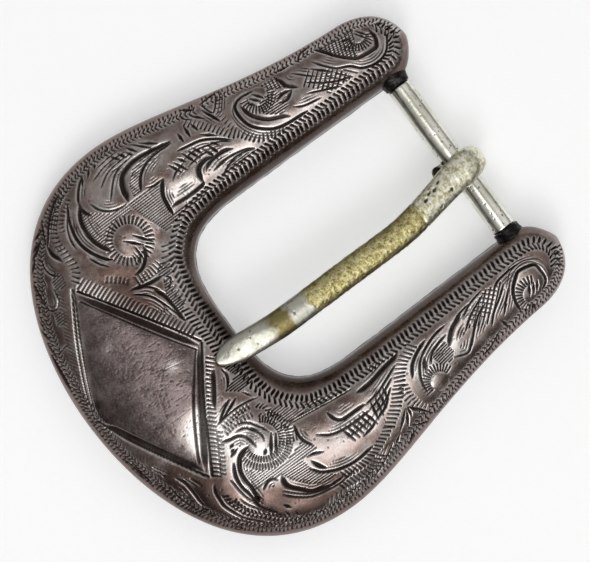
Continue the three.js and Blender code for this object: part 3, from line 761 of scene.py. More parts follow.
def quads_round(flat, cols, steps):
    """Quads between rows of points, each row closed on itself, and whether they face inwards."""
    rows = len(flat) // cols
    i, j = np.meshgrid(np.arange(steps), np.arange(cols), indexing="ij")
    below, after = (i + 1) % rows, (j + 1) % cols
    quads = np.stack([i * cols + j, below * cols + j, below * cols + after, i * cols + after], -1)
    quads = quads.reshape(-1, 4)
    a, b, c, d = (flat[quads[:, k]] for k in range(4))
    volume = (a * (np.cross(b, c) + np.cross(c, d))).sum()
    return i.ravel(), j.ravel(), quads, volume < 0


def grid_mesh(name, points, attributes=None, strips=1):
    """A closed tube of quads from rows of cross-section points in mm, with flat ends."""
    rows, cols = points.shape[:2]
    flat = points.reshape(-1, 3) * MM
    i, j, quads, inwards = quads_round(flat, cols, rows - 1)
    per_strip = math.ceil((rows - 1) / strips)
    strip = i // per_strip
    u0 = (i % per_strip) / per_strip
    v0, v1 = j / cols, (j + 1) / cols
    u1 = u0 + 1 / per_strip
    uv = np.stack([np.stack([u0, v0], -1), np.stack([u1, v0], -1), np.stack([u1, v1], -1),
                   np.stack([u0, v1], -1)], 1)
    uv = uv * (1 - 2 * UV_MARGIN) + UV_MARGIN
    uv[..., 1] = (uv[..., 1] + strip[:, None]) / strips
    first = np.arange(cols)
    last = (rows - 1) * cols + np.arange(cols)[::-1]
    if inwards:
        quads, uv, first, last = quads[:, ::-1], uv[:, ::-1], first[::-1], last[::-1]
    turn = np.linspace(0, 2 * np.pi, cols, endpoint=False)
    disc = np.stack([0.004 * np.cos(turn), 0.004 * np.sin(turn)], -1)
    corners = np.concatenate([quads.ravel(), first, last])
    counts = np.concatenate([np.full(len(quads), 4), [cols, cols]])
    uvs = np.concatenate([uv.reshape(-1, 2), disc + (0.0045, 0.0045), disc + (0.9955, 0.9955)])
    mesh = bpy.data.meshes.new(name)
    mesh.vertices.add(len(flat))
    mesh.vertices.foreach_set("co", flat.astype(np.float32).ravel())
    mesh.loops.add(len(corners))
    mesh.loops.foreach_set("vertex_index", corners.astype(np.int32))
    mesh.polygons.add(len(counts))
    starts = np.concatenate([[0], np.cumsum(counts)[:-1]])
    mesh.polygons.foreach_set("loop_start", starts.astype(np.int32))
    mesh.update(calc_edges=True)
    mesh.validate()
    mesh.polygons.foreach_set("use_smooth", np.ones(len(counts), bool))
    layer = mesh.uv_layers.new(name="OFBake")
    layer.data.foreach_set("uv", uvs.astype(np.float32).ravel())
    for key, values in (attributes or {}).items():
        slot = mesh.attributes.new(key, "FLOAT", "POINT")
        slot.data.foreach_set("value", np.asarray(values, np.float32).ravel())
    mesh.update()
    return add_object(name, mesh)


def ring_mesh(name, points):
    """A closed ring of quads: the last row joins the first, and each row is a closed loop."""
    rows, cols = points.shape[:2]
    flat = points.reshape(-1, 3) * MM
    _, _, quads, inwards = quads_round(flat, cols, rows)
    if inwards:
        quads = quads[:, ::-1]
    mesh = bpy.data.meshes.new(name)
    mesh.from_pydata(flat.tolist(), [], quads.tolist())
    mesh.validate()
    mesh.polygons.foreach_set("use_smooth", np.ones(len(mesh.polygons), bool))
    mesh.update()
    return add_object(name, mesh)


def surface_normals(p):
    along = np.gradient(p, axis=0)
    across = np.gradient(p, axis=1)
    n = np.cross(along, across)
    return n / np.maximum(np.linalg.norm(n, axis=2, keepdims=True), 1e-9)


def wall_below(edge, heights):
    """Rows of points down or up the upright wall under one edge of the front, a little wavy."""
    wall = np.stack([np.concatenate([edge, np.full((len(edge), 1), z)], 1) for z in heights], 1)
    wave = 0.03 * lattice_noise(wall[..., 0] + 90, wall[..., 1] + wall[..., 2], 2.5, 9)
    wall[..., 2] += wave * (wall[..., 2] > PLATE + 0.1)
    return wall


def whole(values, outside=0.0, inside=0.0):
    """Values on the front, with one value for each wall."""
    count = len(values)
    return np.concatenate([np.full((count, WALL_ROWS), outside), values,
                           np.full((count, WALL_ROWS), inside)], 1)


def build_shell():
    """The domed front with its cuts sunk into it along the surface normal, and the two walls."""
    outer, inner = ribs(0.075, 0.06)
    t = even_across(212)
    flat_xy = outer[:, None] + (inner - outer)[:, None] * t[None, :, None]
    x, y = flat_xy[..., 0], flat_xy[..., 1]
    front = np.concatenate([flat_xy, front_height(t[None, :], x)[..., None]], 2)
    normal = surface_normals(front)
    if normal[..., 2].mean() < 0:
        normal = -normal
    edge = smoothstep(0.004, 0.045, t) * smoothstep(0.996, 0.965, t)
    cut_here = sample(depth_map, x, y) * edge
    wide_here = sample(blurred(depth_map, 0.42), x, y) * edge
    fine_here = sample(blurred(depth_map, 0.14), x, y) * edge
    waves = 0.05 * lattice_noise(x, y, 6, 3) + 0.016 * lattice_noise(x, y, 1.4, 5)
    push = sample(raise_map, x, y) - cut_here - 0.9 * wide_here + waves
    rim_fade = smoothstep(0, 0.012, t) * smoothstep(1, 0.985, t)
    front = front + normal * (push * rim_fade[None, :])[..., None]
    outside = wall_below(outer, (PLATE, PLATE + 0.03, PLATE + 0.3, PLATE + 0.8, OUTER_WALL - 0.3))
    inside = wall_below(inner, (INNER_WALL - 0.3, PLATE + 1.5, PLATE + 0.8, PLATE + 0.03, PLATE))
    crest = dome(2 * t - 1)[None, :] * np.ones_like(x)
    # painted shade: listed patches darkened towards near black, and lightened where the strength is
    # negative
    painted_shade_patches = soft_spots(x, y, PAINTED_SHADE_SPOTS)
    shade = (1 - smoothstep(0.12, 0.85, crest)) * np.where(t > 0.5, 1.0, 0.12)[None, :]
    # worn silver and painted highlight: listed bright patches, less where painted shade patches lie
    rubbed_and_highlight = soft_spots(x, y, RUBBED_AND_HIGHLIGHT_SPOTS) - 0.7 * np.maximum(painted_shade_patches, 0)
    attributes = {
        "recess": whole(np.clip((cut_here - 0.55 * wide_here) / 0.06, 0, 1)),
        "ridge": whole(np.clip((fine_here - cut_here) / 0.05, 0, 1)),
        "worked": whole(np.clip(wide_here / 0.09, 0, 1)),
        "crest": whole(crest),
        "shade": whole(np.clip(shade + painted_shade_patches, 0, 1), 0.35, 1),
        "panel": whole(panel_mask(x, y)),
        "bright": whole(np.clip(rubbed_and_highlight, -0.7, 1.3)),
    }
    points = np.concatenate([outside, front, inside], 1)
    return grid_mesh("engraved_shell", points, attributes, strips=4)


def panel_mask(x, y):
    """1 inside the plain lozenge."""
    left = np.where(x < -19, (x + 25.4) / 6.4, (-11.9 - x) / 7.1)
    top = np.where(y > 0.2, (12.6 - y) / 12.4, (y + 11.6) / 11.8)
    return smoothstep(0.0, 0.06, left + top - 1)


# soft spots: x, y, reach in x, reach in y, strength
# Worn silver and painted highlight: patches painted brighter, towards bare silver.
RUBBED_AND_HIGHLIGHT_SPOTS = (
    (-13.6, -13, 3, 3, 1.1), (-15.6, -8.4, 1.8, 2.6, 0.8), (-4.8, -17.4, 3.6, 1.5, 0.6),
    (5, -15.5, 7, 1.8, 0.3), (17, -15, 5, 1.8, 0.2), (5, 14.2, 7, 0.9, 0.5),
    (-10.4, 19.7, 1.6, 1.7, 0.5), (-2.6, 18.7, 2.4, 0.9, 0.5), (-2.8, 15, 2.2, 1, 1.1),
    (-6, 20, 5, 1.5, 0.2), (18, 15.3, 4, 1.4, 0.15), (-17.4, -7.7, 2.4, 2.6, 1.5),
    (-10, 6.5, 1.2, 3, 0.25), (-2, -14, 4, 1.2, 0.2), (12.8, 13.4, 5, 0.4, 0.4),
    (13.4, 15.4, 1.2, 1.2, 0.5), (10.8, -16.8, 1, 1.3, 1), (5.6, -17, 1.3, 1.9, 0.7),
    (14.4, -14.8, 2.2, 1.2, 0.4), (-11.8, -15.5, 2.8, 1.4, 1.3), (-25.3, 4, 1.2, 9, 0.4),
    (-8.3, 6, 1.3, 4.2, 0.9), (-6.6, 10.4, 1.6, 1.2, 0.9), (-5, -22.4, 6, 0.9, 0.4),
    (-15.2, -0.2, 1, 0.9, 0.85), (-22.1, -0.5, 0.4, 0.6, 0.6), (-23.6, 2.4, 0.7, 1.4, 0.45),
    (-18.6, 9.4, 0.8, 1.4, 0.5), (-20.2, 2.6, 0.5, 0.4, 0.35), (-17.2, 3.4, 0.6, 0.5, 0.3),
    (-20.9, -3.6, 0.7, 0.6, 0.5), (-19.7, 6, 1.2, 1.1, 0.6),
)
# Painted shade: patches darkened towards near black; those with a negative strength lift the painted
# shade instead, as painted light.
PAINTED_SHADE_SPOTS = (
    (-14.8, -18.8, 3, 1.8, 1), (-9.5, -20.8, 4, 1.3, 0.8), (-19.4, -14.5, 1.8, 2.6, 0.7),
    (8, 12.3, 17, 0.75, 0.5), (-21.3, -11.5, 2.2, 3.6, 0.65), (-14, 8.2, 2.6, 3.4, 0.75),
    (-3, -13.9, 3.4, 0.9, 0.35), (-22.7, -0.9, 1.5, 1.3, 0.6), (-20, -4.6, 0.5, 0.4, 0.6),
    (-18.4, -4.2, 0.7, 0.3, 0.5), (-24.4, 1.3, 0.5, 0.5, 0.8), (-8.3, 6, 1.3, 4.2, -0.75),
    (-6.6, 10.4, 1.6, 1.2, -0.6), (-5.5, 12.9, 2.5, 0.7, -0.3), (-10.8, -10.6, 1.6, 2.2, 0.3),
)


def soft_spots(x, y, spots):
    """Soft patches added up, each fading out from its middle."""
    total = np.zeros_like(x)
    for cx, cy, rx, ry, strength in spots:
        total += strength * np.exp(-((x - cx) / rx) ** 2 - ((y - cy) / ry) ** 2)
    return total


def tongue_line(count):
    """The forged tongue's centre line and section, from the point to the end of its loop."""
    at_point = front_height(1 - 3.4 / 19, np.array(POINT_X))
    point_z = float(at_point) + POINT_LIFT
    drop = math.hypot(BAR_X - POINT_X, point_z - BAR_Z)
    lean = math.asin(LOOP_RADIUS / drop) - math.atan2(point_z - BAR_Z, BAR_X - POINT_X)
    straight = math.sqrt(drop**2 - LOOP_RADIUS**2)
    d = np.linspace(0, straight + LOOP_RADIUS * LOOP_WRAP, count)
    d = np.concatenate([[0.02, 0.05, 0.1], d[1:]])
    bent = np.clip((d - straight) / LOOP_RADIUS, 0, None)
    turn = lean - bent
    x = np.where(d < straight, POINT_X + d * math.cos(lean), BAR_X - LOOP_RADIUS * np.sin(turn))
    z = np.where(d < straight, point_z + d * math.sin(lean), BAR_Z + LOOP_RADIUS * np.cos(turn))
    near_loop = smoothstep(straight - 11, straight + LOOP_RADIUS, d)
    near_point = 1 - smoothstep(0, 8.8, d)
    pointed = np.maximum(0.08, dome(1 - np.minimum(1, d / POINTED_LENGTH)))
    half_width = pointed * lerp(TONGUE_WIDTH, LOOP_WIDTH, near_loop) / 2
    half_width = half_width * (1 - 0.3 * np.exp(-(((bent - 1.6) / 0.75) ** 2)))
    forged = lerp(0.7, 2, smoothstep(0, POINTED_LENGTH, d))
    half_thick = lerp(forged, LOOP_THICKNESS, near_loop) / 2
    y = LOOP_Y - 1.75 * (1 - near_loop) + 0.7 * near_point
    return d, x, y, z, turn, half_width, half_thick


def build_tongue():
    d, x, y, z, turn, half_width, half_thick = tongue_line(600)
    around = np.linspace(0, 2 * np.pi, 96, endpoint=False)
    squareness = 2.3
    c, s = np.cos(around), np.sin(around)
    side = np.sign(c) * np.abs(c) ** (2 / squareness)
    lift = np.sign(s) * np.abs(s) ** (2 / squareness)
    dd, aa = np.meshgrid(d, around, indexing="ij")
    top = np.clip(np.sin(aa), 0, 1)
    grain = 0.06 * lattice_noise(dd, aa * 1.4 + 40, 0.42, 21, 3, 0.7)
    ripple = 0.05 * lattice_noise(dd, aa * 1.4, 4.5, 25, 2)
    granular = smoothstep(10.5, 13, dd) * (1 - smoothstep(26.6, 27.4, dd))
    nick = np.zeros_like(dd)
    rng = np.random.default_rng(5)
    for _ in range(260):
        at, an, r = rng.uniform(2, d[-1]), rng.uniform(0, 2 * np.pi), rng.uniform(0.05, 0.16)
        far = np.hypot(dd - at, (np.angle(np.exp(1j * (aa - an)))) * 1.4)
        nick = np.maximum(nick, r * 0.6 * np.clip(1 - far / r, 0, 1))
    for at, an, r in ((9.9, 0.35, 0.55), (28.6, 1.9, 0.32), (29.3, 2.1, 0.28), (30, 1.95, 0.3),
                      (30.8, 2.15, 0.26), (29.6, 0.8, 0.25), (31.6, 1.2, 0.25)):
        far = np.hypot((dd - at) - 0.5 * (aa - an), (aa - an) * 2.2)
        nick = np.maximum(nick, 0.3 * np.clip(1 - far / r, 0, 1))
    swell = ripple + grain * (0.35 + 0.65 * granular) - nick
    boundary = np.exp(-(((dd - 27.2) / 0.12) ** 2))
    swell -= 0.08 * boundary
    facet = smoothstep(1.5, 3.5, dd) * (1 - smoothstep(4.5, 7, dd))
    facet = facet * np.clip(np.cos(aa - 0.9), 0, 1) ** 3
    wide = (half_width[:, None] + swell) * side[None, :]
    thick = (half_thick[:, None] + swell) * lift[None, :] - facet * 0.22 * top
    px = x[:, None] - np.sin(turn)[:, None] * thick
    pz = z[:, None] + np.cos(turn)[:, None] * thick
    py = y[:, None] - wide
    points = np.stack([px, py, pz], -1)
    attributes = {
        "way": dd / WAY_SCALE,
        "nick": np.clip(nick / 0.08, 0, 1),
        "flank": np.abs(np.cos(aa)) ** 3,
    }
    return grid_mesh("forged_tongue", points, attributes, strips=2)


def turned(profile, around=128, lumps=0.0, seed=1):
    """Points of a piece turned about the bar's axis, from (y, radius) rows, with their y and angle."""
    profile = np.array(profile, float)
    angle = np.linspace(0, 2 * np.pi, around, endpoint=False)
    yy, aa = np.meshgrid(profile[:, 0], angle, indexing="ij")
    rr = profile[:, 1][:, None] * np.ones_like(aa)
    if lumps:
        wrap = lattice_noise(yy + 20 + 1.3 * np.cos(aa), 1.3 * np.sin(aa) + 9, 0.9, seed, 3)
        rr = rr + lumps * wrap * (rr > SOCKET_BORE + 0.08)
    return np.stack([BAR_X + rr * np.cos(aa), yy, BAR_Z + rr * np.sin(aa)], -1), yy, aa


def build_pin():
    y = np.concatenate([
        [-BAR_END, -BAR_END + 0.12], np.linspace(-BAR_END + 0.3, -BAR_SHOULDER - 0.02, 14),
        [-BAR_SHOULDER, -BAR_SHOULDER + 0.06, -BAR_SHOULDER + 0.14],
        np.linspace(-BAR_SHOULDER + 0.25, BAR_SHOULDER - 0.25, 260),
        [BAR_SHOULDER - 0.14, BAR_SHOULDER - 0.06, BAR_SHOULDER],
        np.linspace(BAR_SHOULDER + 0.02, BAR_END - 0.3, 14), [BAR_END - 0.12, BAR_END],
    ])
    far = np.abs(y)
    radius = np.where(far > BAR_SHOULDER + 0.01, SPIGOT_RADIUS, BAR_RADIUS)
    radius = radius - np.clip(0.14 - np.abs(far - BAR_SHOULDER), 0, 0.14) * (far <= BAR_SHOULDER)
    radius = np.where(far > BAR_END - 0.1, SPIGOT_RADIUS - 0.12, radius)
    points, yy, aa = turned(np.stack([y, radius], 1))
    body = np.abs(yy) < BAR_SHOULDER - 0.2
    rng = np.random.default_rng(31)
    pits_and_reflection = np.zeros_like(yy)
    for _ in range(240):
        at, an, r = rng.uniform(-9.3, 9.3), rng.uniform(0, 2 * np.pi), rng.uniform(0.05, 0.14)
        apart = np.hypot(yy - at, np.angle(np.exp(1j * (aa - an))) * BAR_RADIUS)
        pits_and_reflection = np.maximum(pits_and_reflection, 0.5 * r * np.clip(1 - apart / r, 0, 1))
    # painted reflection: a shallow groove along the pin, painted near black where the pin reflects the
    # dark room
    beside = np.angle(np.exp(1j * (aa - np.radians(128 + 3 * np.sin(yy * 0.5))))) * BAR_RADIUS
    ragged = 0.75 + 0.5 * lattice_noise(yy + 50, 0 * yy, 0.8, 35)
    seam_and_reflection = np.exp(-((beside / (0.13 * ragged)) ** 2)) * np.clip(ragged, 0.2, 1)
    pits_and_reflection = np.maximum(pits_and_reflection, 0.07 * seam_and_reflection)
    wave = 0.02 * lattice_noise(yy + 30, aa * BAR_RADIUS, 2.2, 33)
    groove = 0.07 * np.exp(-(((yy - LOOP_Y) / 1.9) ** 4))
    shift = (wave - pits_and_reflection - groove) * body
    points[..., 0] += shift * np.cos(aa)
    points[..., 2] += shift * np.sin(aa)
    # the nick attribute carries the pitting and the painted reflection line
    attributes = {"nick": np.clip(pits_and_reflection / 0.04, 0, 1), "rub": groove / 0.07}
    return grid_mesh("cross_pin", points, attributes)


def build_collar(name, side, seed):
    """A solder-built collar round the pin's end, with a fillet where it meets the arm."""
    outline = []
    for turn in np.linspace(0, math.pi, 15):
        mid = (COLLAR_RADIUS + SOCKET_BORE) / 2
        half = (COLLAR_RADIUS - SOCKET_BORE) / 2
        outline.append((SOCKET_FACE + half - half * math.sin(turn), mid - half * math.cos(turn)))
    rest = np.linspace(SOCKET_FACE + 0.35, SOCKET_BACK, 40)
    swollen = COLLAR_RADIUS + 0.2 * smoothstep(10.1, 10.9, rest)
    outline += list(zip(rest, swollen))
    bore = np.linspace(SOCKET_BACK, SOCKET_FACE + 0.35, 12)
    outline += [(b, SOCKET_BORE + 0.002) for b in bore]
    outline = np.array(outline)
    outline[:, 0] *= side
    points = turned(outline, 120, lumps=0.11, seed=seed)[0]
    return ring_mesh(name, points.transpose(1, 0, 2))


def build_back():
    """The flat back plate, with soft edges, planishing waves and long wiping scratches."""
    outer, inner = ribs(0.3, 0.3)
    inward = inner - outer
    width = np.hypot(*inward.T)[:, None]
    unit = inward / np.maximum(width, 1e-6)
    inset = np.minimum(PLATE_INSET, width * 0.3)
    outer, inner = outer + unit * inset, inner - unit * inset
    t = np.concatenate([[0, 0.004, 0.012], np.linspace(0.03, 0.97, 60), [0.988, 0.996, 1]])
    xy = outer[:, None] + (inner - outer)[:, None] * t[None, :, None]
    x, y = xy[..., 0], xy[..., 1]
    rise = 0.16 * (np.clip(1 - np.minimum(t, 1 - t) / 0.012, 0, 1) ** 2)
    low = rise[None, :] + 0.02 * (1 + lattice_noise(x, y, 3.5, 41))
    bottom = np.concatenate([xy, low[..., None]], 2)
    top = np.concatenate([xy[:, ::-1], np.full(x.shape + (1,), PLATE - 0.005)], 2)[:, ::8]
    points = np.concatenate([bottom, top], 1)
    return grid_mesh("back_cover", points)


def build_seam(name, which, seed):
    """The bead of solder run round the joint between back plate and shell."""
    outer, inner = ribs(BEAD_STEP, 0.2)
    path = outer if which == "outer" else inner
    other = inner if which == "outer" else outer
    width = np.hypot(*(other - path).T)[:, None]
    inward = (other - path) / np.maximum(width, 1e-6)
    path = path[3:-3] + inward[3:-3] * 0.1
    inward = inward[3:-3]
    along = np.arange(len(path)) * BEAD_STEP
    radius = BEAD_RADIUS * (1 + 0.35 * lattice_noise(along, along * 0 + seed, 1.1, seed, 3))
    angle = np.linspace(0, 2 * np.pi, 12, endpoint=False)
    across = np.cos(angle)[None, :] * radius[:, None]
    up = np.sin(angle)[None, :] * radius[:, None]
    px = path[:, 0, None] - inward[:, 0, None] * across
    py = path[:, 1, None] - inward[:, 1, None] * across
    return grid_mesh(name, np.stack([px, py, PLATE - 0.04 + up], -1))


# ---------------------------------------------------------------- materials
def add_node(tree, kind, inputs=None, **settings):
    """A node with its settings, and its inputs linked to sockets or set to values."""
    made = tree.nodes.new(kind)
    for key, value in settings.items():
        setattr(made, key, value)
    for key, value in (inputs or {}).items():
        if isinstance(value, bpy.types.NodeSocket):
            tree.links.new(value, made.inputs[key])
        else:
            made.inputs[key].default_value = value
    return made


class Paint:
    """A node material, built with short calls."""

    def __init__(self, name):
        self.material = bpy.data.materials.new(name)
        self.material.use_nodes = True
        self.tree = self.material.node_tree
        self.tree.nodes.clear()
        self.place = self.node("ShaderNodeTexCoord").outputs["Object"]

    def node(self, kind, inputs=None, **settings):
        return add_node(self.tree, kind, inputs, **settings)

    def attribute(self, name):
        return self.node("ShaderNodeAttribute", attribute_name=name).outputs["Fac"]

    def noise(self, size_mm, detail=4.0, rough=0.55, stretch=None):
        where = self.place
        if stretch:
            where = self.node("ShaderNodeMapping", {"Vector": where, "Scale": stretch}).outputs[0]
        return self.node("ShaderNodeTexNoise", {"Vector": where, "Scale": 1000 / size_mm,
                                                "Detail": detail, "Roughness": rough}).outputs[0]

    def math(self, operation, a, b, clamp=False):
        return self.node("ShaderNodeMath", {0: a, 1: b}, operation=operation,
                         use_clamp=clamp).outputs[0]

    def times(self, a, b, clamp=False):
        return self.math("MULTIPLY", a, b, clamp)

    def plus(self, a, b, clamp=False):
        return self.math("ADD", a, b, clamp)

    def remap(self, value, low, high, to_low=0.0, to_high=1.0):
        return self.node("ShaderNodeMapRange", {"Value": value, "From Min": low, "From Max": high,
                                                "To Min": to_low, "To Max": to_high},
                         interpolation_type="SMOOTHSTEP").outputs[0]

    def mix(self, factor, a, b):
        a, b = (v if isinstance(v, bpy.types.NodeSocket) else (*v, 1) for v in (a, b))
        return self.node("ShaderNodeMix", {0: factor, 6: a, 7: b}, data_type="RGBA").outputs[2]

    def finish(self, color, roughness, height, bump_mm, metallic=1.0, glow=None):
        bump = self.node("ShaderNodeBump", {"Height": height, "Strength": 1.0,
                                            "Distance": bump_mm * MM})
        shader = self.node("ShaderNodeBsdfPrincipled", {
            "Base Color": color, "Roughness": roughness, "Metallic": metallic,
            "Normal": bump.outputs[0], **(glow or {})})
        self.node("ShaderNodeOutputMaterial", {0: shader.outputs[0]})
        return self.material


def shell_silver():
    """Tarnish over silver: black in the cuts, brown where worked, worn bright on the crests; painted
    highlight in listed patches, and painted shade on the inner slopes, the walls and listed patches.
    """
    p = Paint("engraved tarnished silver")
    recess, ridge = p.attribute("recess"), p.attribute("ridge")
    crest, worked = p.attribute("crest"), p.attribute("worked")
    panel, bright = p.attribute("panel"), p.attribute("bright")
    cloud = p.noise(7, 5, 0.6)
    mottle = p.noise(1.6, 6, 0.7)
    speck = p.noise(0.22, 3, 0.6)
    tarnish_and_shade = p.mix(cloud, (0.122, 0.075, 0.063), (0.272, 0.19, 0.166))
    tarnish_and_shade = p.mix(p.times(worked, 0.5), tarnish_and_shade, (0.055, 0.032, 0.027))
    # darker down the dome's sides, towards both edges
    tarnish_and_shade = p.mix(p.remap(crest, 0.3, 0.75, 0.22, 0.0), tarnish_and_shade, (0.045, 0.029, 0.025))
    # painted shade: near black where the shade attribute is high, on the inner slopes, the walls and
    # listed patches
    shade = p.attribute("shade")
    tarnish_and_shade = p.mix(p.times(shade, 0.85), tarnish_and_shade, (0.021, 0.0145, 0.0128))
    silver = p.mix(mottle, (0.4, 0.366, 0.347), (0.77, 0.748, 0.735))
    # worn silver and painted highlight: the bright patches, the ridges beside the cuts and a mottle,
    # less down the dome's sides and less where shade is painted
    rubbed_and_highlight = p.plus(p.times(bright, 0.62), p.times(ridge, 0.75))
    rubbed_and_highlight = p.plus(rubbed_and_highlight, p.times(p.remap(mottle, 0.35, 0.7), 0.3))
    rubbed_and_highlight = p.times(rubbed_and_highlight, p.remap(crest, 0.35, 0.85, 0.22, 1.0), True)
    rubbed_and_highlight = p.times(rubbed_and_highlight, p.remap(shade, 0.0, 1.0, 1.0, 0.4), True)
    color = p.mix(rubbed_and_highlight, tarnish_and_shade, silver)
    grainy = p.remap(p.plus(mottle, speck), 0.7, 1.3)
    violet = p.mix(grainy, (0.095, 0.074, 0.073), (0.225, 0.184, 0.182))
    # painted shade on the plain panel too
    violet = p.mix(p.times(shade, 0.7), violet, (0.03, 0.024, 0.024))
    color = p.mix(p.times(panel, p.remap(bright, 1.0, 0.15, 0.05, 0.9)), color, violet)
    dark = p.times(recess, p.remap(speck, 0.2, 0.7, 1.0, 0.85))
    color = p.mix(p.times(dark, 0.96), color, (0.014, 0.009, 0.008))
    rough = p.remap(p.plus(mottle, p.times(speck, 0.5)), 0.4, 1.1, 0.17, 0.36)
    rough = p.plus(rough, p.times(recess, 0.3), True)
    return p.finish(color, rough, p.plus(speck, mottle), 0.008)


def back_silver():
    p = Paint("plain wiped silver")
    cloud, fine = p.noise(9, 5, 0.6), p.noise(1.5, 5, 0.7)
    lines = p.noise(1.2, 4, 0.6, (0.06, 1.0, 1.0))
    color = p.mix(p.remap(cloud, 0.3, 0.7), (0.30, 0.26, 0.23), (0.62, 0.59, 0.55))
    color = p.mix(p.remap(fine, 0.6, 0.75), color, (0.13, 0.1, 0.09))
    return p.finish(color, p.remap(lines, 0.3, 0.7, 0.28, 0.5), lines, 0.02)


def black_solder():
    p = Paint("black oxidised solder")
    lump, fine = p.noise(0.9, 5, 0.65), p.noise(0.25, 3, 0.6)
    color = p.mix(p.remap(lump, 0.5, 0.72), (0.018, 0.016, 0.016), (0.09, 0.085, 0.08))
    color = p.mix(p.remap(fine, 0.66, 0.74), color, (0.45, 0.43, 0.4))
    return p.finish(color, p.remap(fine, 0.2, 0.8, 0.3, 0.55), fine, 0.03)


def seam_solder():
    p = Paint("dull solder bead")
    lump = p.noise(0.8, 5, 0.65)
    color = p.mix(lump, (0.16, 0.14, 0.13), (0.42, 0.4, 0.37))
    return p.finish(color, p.remap(lump, 0.3, 0.7, 0.35, 0.55), lump, 0.02)


def pin_nickel():
    p = Paint("worn nickel silver")
    cloud, fine = p.noise(3, 5, 0.6), p.noise(0.3, 4, 0.65)
    lines = p.noise(0.9, 4, 0.6, (1.0, 0.08, 1.0))
    color = p.mix(p.remap(cloud, 0.3, 0.7), (0.62, 0.61, 0.52), (0.88, 0.87, 0.8))
    # the nick attribute darkens the pitting, and paints the line along the pin near black as a painted
    # reflection
    color = p.mix(p.times(p.attribute("nick"), 0.85), color, (0.06, 0.055, 0.05))
    color = p.mix(p.remap(fine, 0.64, 0.74), color, (0.3, 0.27, 0.24))
    return p.finish(color, p.remap(lines, 0.3, 0.7, 0.16, 0.34), p.plus(lines, fine), 0.008)


def tongue_metal():
    """Plated point, dull and grainy brass along the middle, olive on the loop, by way in mm."""
    p = Paint("worn plated brass")
    way = p.times(p.attribute("way"), WAY_SCALE)
    warble = p.times(p.math("SUBTRACT", p.noise(1.2, 4, 0.6), 0.5), 2.4)
    way = p.plus(way, warble)
    mottle, speck = p.noise(0.5, 6, 0.75), p.noise(0.2, 4, 0.7)
    silver = p.mix(mottle, (0.38, 0.375, 0.32), (0.62, 0.62, 0.55))
    contrast = p.remap(p.plus(mottle, speck), 0.78, 1.2)
    brass = p.mix(contrast, (0.22, 0.165, 0.035), (0.78, 0.73, 0.4))
    dull = p.mix(mottle, (0.13, 0.1, 0.03), (0.34, 0.3, 0.14))
    olive = p.mix(p.remap(mottle, 0.35, 0.6), (0.4, 0.36, 0.17), (0.9, 0.9, 0.78))
    first = p.remap(way, 6.3, 7.6)
    patch = p.times(p.remap(way, 9.0, 9.6), p.remap(way, 12.4, 11.4))
    loop = p.remap(way, 27.0, 27.5)
    color = p.mix(first, silver, p.mix(p.remap(way, 9.0, 12.0), dull, brass))
    color = p.mix(patch, color, silver)
    color = p.mix(loop, color, olive)
    # Tarnished, and in painted shade: the end of the loop, tucked under the bar, is painted near black
    color = p.mix(p.remap(way, 42.4, 43.6), color, (0.03, 0.025, 0.02))
    grainy = p.times(p.remap(way, 11.6, 12.8), p.remap(way, 27.6, 27.0))
    spots = p.times(p.remap(speck, 0.56, 0.68), grainy)
    color = p.mix(p.times(spots, 0.8), color, (0.07, 0.055, 0.025))
    # painted shade: the flanks of the section are darkened, more along the grainy brass
    edge = p.times(p.attribute("flank"), p.plus(0.25, p.times(grainy, 0.5)))
    color = p.mix(edge, color, (0.12, 0.085, 0.045))
    color = p.mix(p.times(p.attribute("nick"), 0.9), color, (0.03, 0.025, 0.015))
    rough = p.plus(p.remap(mottle, 0.3, 0.7, 0.28, 0.4), p.times(grainy, 0.08))
    return p.finish(color, rough, p.plus(speck, mottle), 0.012)


def floor_white():
    p = Paint("white paper")
    fibre = p.noise(0.8, 4, 0.6)
    weave = p.noise(0.9, 3, 0.6, (1.0, 0.35, 1.0))
    color = p.mix(p.noise(30, 3, 0.5), (0.8, 0.805, 0.81), (0.84, 0.845, 0.85))
    glow = {"Emission Color": (0.97, 0.985, 1.0, 1), "Emission Strength": 0.34}
    return p.finish(color, 0.85, p.plus(fibre, weave), 0.05, 0.0, glow)


# ---------------------------------------------------------------- the pieces
def place(piece, body, slot, material, *nodes):
    piece.data.materials.clear()
    piece.data.materials.append(material)
    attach(piece, body)
    if nodes:
        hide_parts(*nodes)


place(build_shell(), "frame", "tarnished_silver", shell_silver(), "front_shell")
place(build_back(), "frame", "plain_silver", back_silver(), "back_plate")
solder = seam_solder()
place(build_seam("solder_seam_outer", "outer", 51), "frame", "plain_silver", solder)
place(build_seam("solder_seam_inner", "inner", 57), "frame", "plain_silver", solder)
black = black_solder()
for side_name, cad_name in (("left", "bar_socket_left"), ("right", "bar_socket_right")):
    side = 1 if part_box(cad_name)[0].y > 0 else -1
    place(build_collar("solder_collar_" + side_name, side, 61 + side), "frame", "black_oxide",
          black, cad_name)
place(build_pin(), "bar", "nickel_silver", pin_nickel(), "crossbar")
place(build_tongue(), "prong", "worn_plated_brass", tongue_metal(), "tongue")


# ---------------------------------------------------------------- floor, light and camera
def build_floor():
    half = 1.5
    mesh = bpy.data.meshes.new("floor")
    mesh.from_pydata([(-half, -half, 0), (half, -half, 0), (half, half, 0), (-half, half, 0)], [],
                     [(0, 1, 2, 3)])
    floor = add_object("floor", mesh)
    floor.location.z = -0.00005
    mesh.materials.append(floor_white())


# soft boxes of the room: direction, cosines of their inner and outer edge, strength
SOFT_BOXES = (
    ((-0.09, -0.19, 0.98), 0.992, 0.962, 2.6),
    ((-0.2, -0.58, 0.78), 0.98, 0.86, 0.9),
    ((0.75, 0.0, 0.66), 0.98, 0.8, 0.45),
    ((0.0, 0.0, 1.0), 0.9, 0.3, 0.26),
    ((0.1, 0.85, 0.5), 0.97, 0.6, 0.25),
)
ROOM_GLOW = 0.13


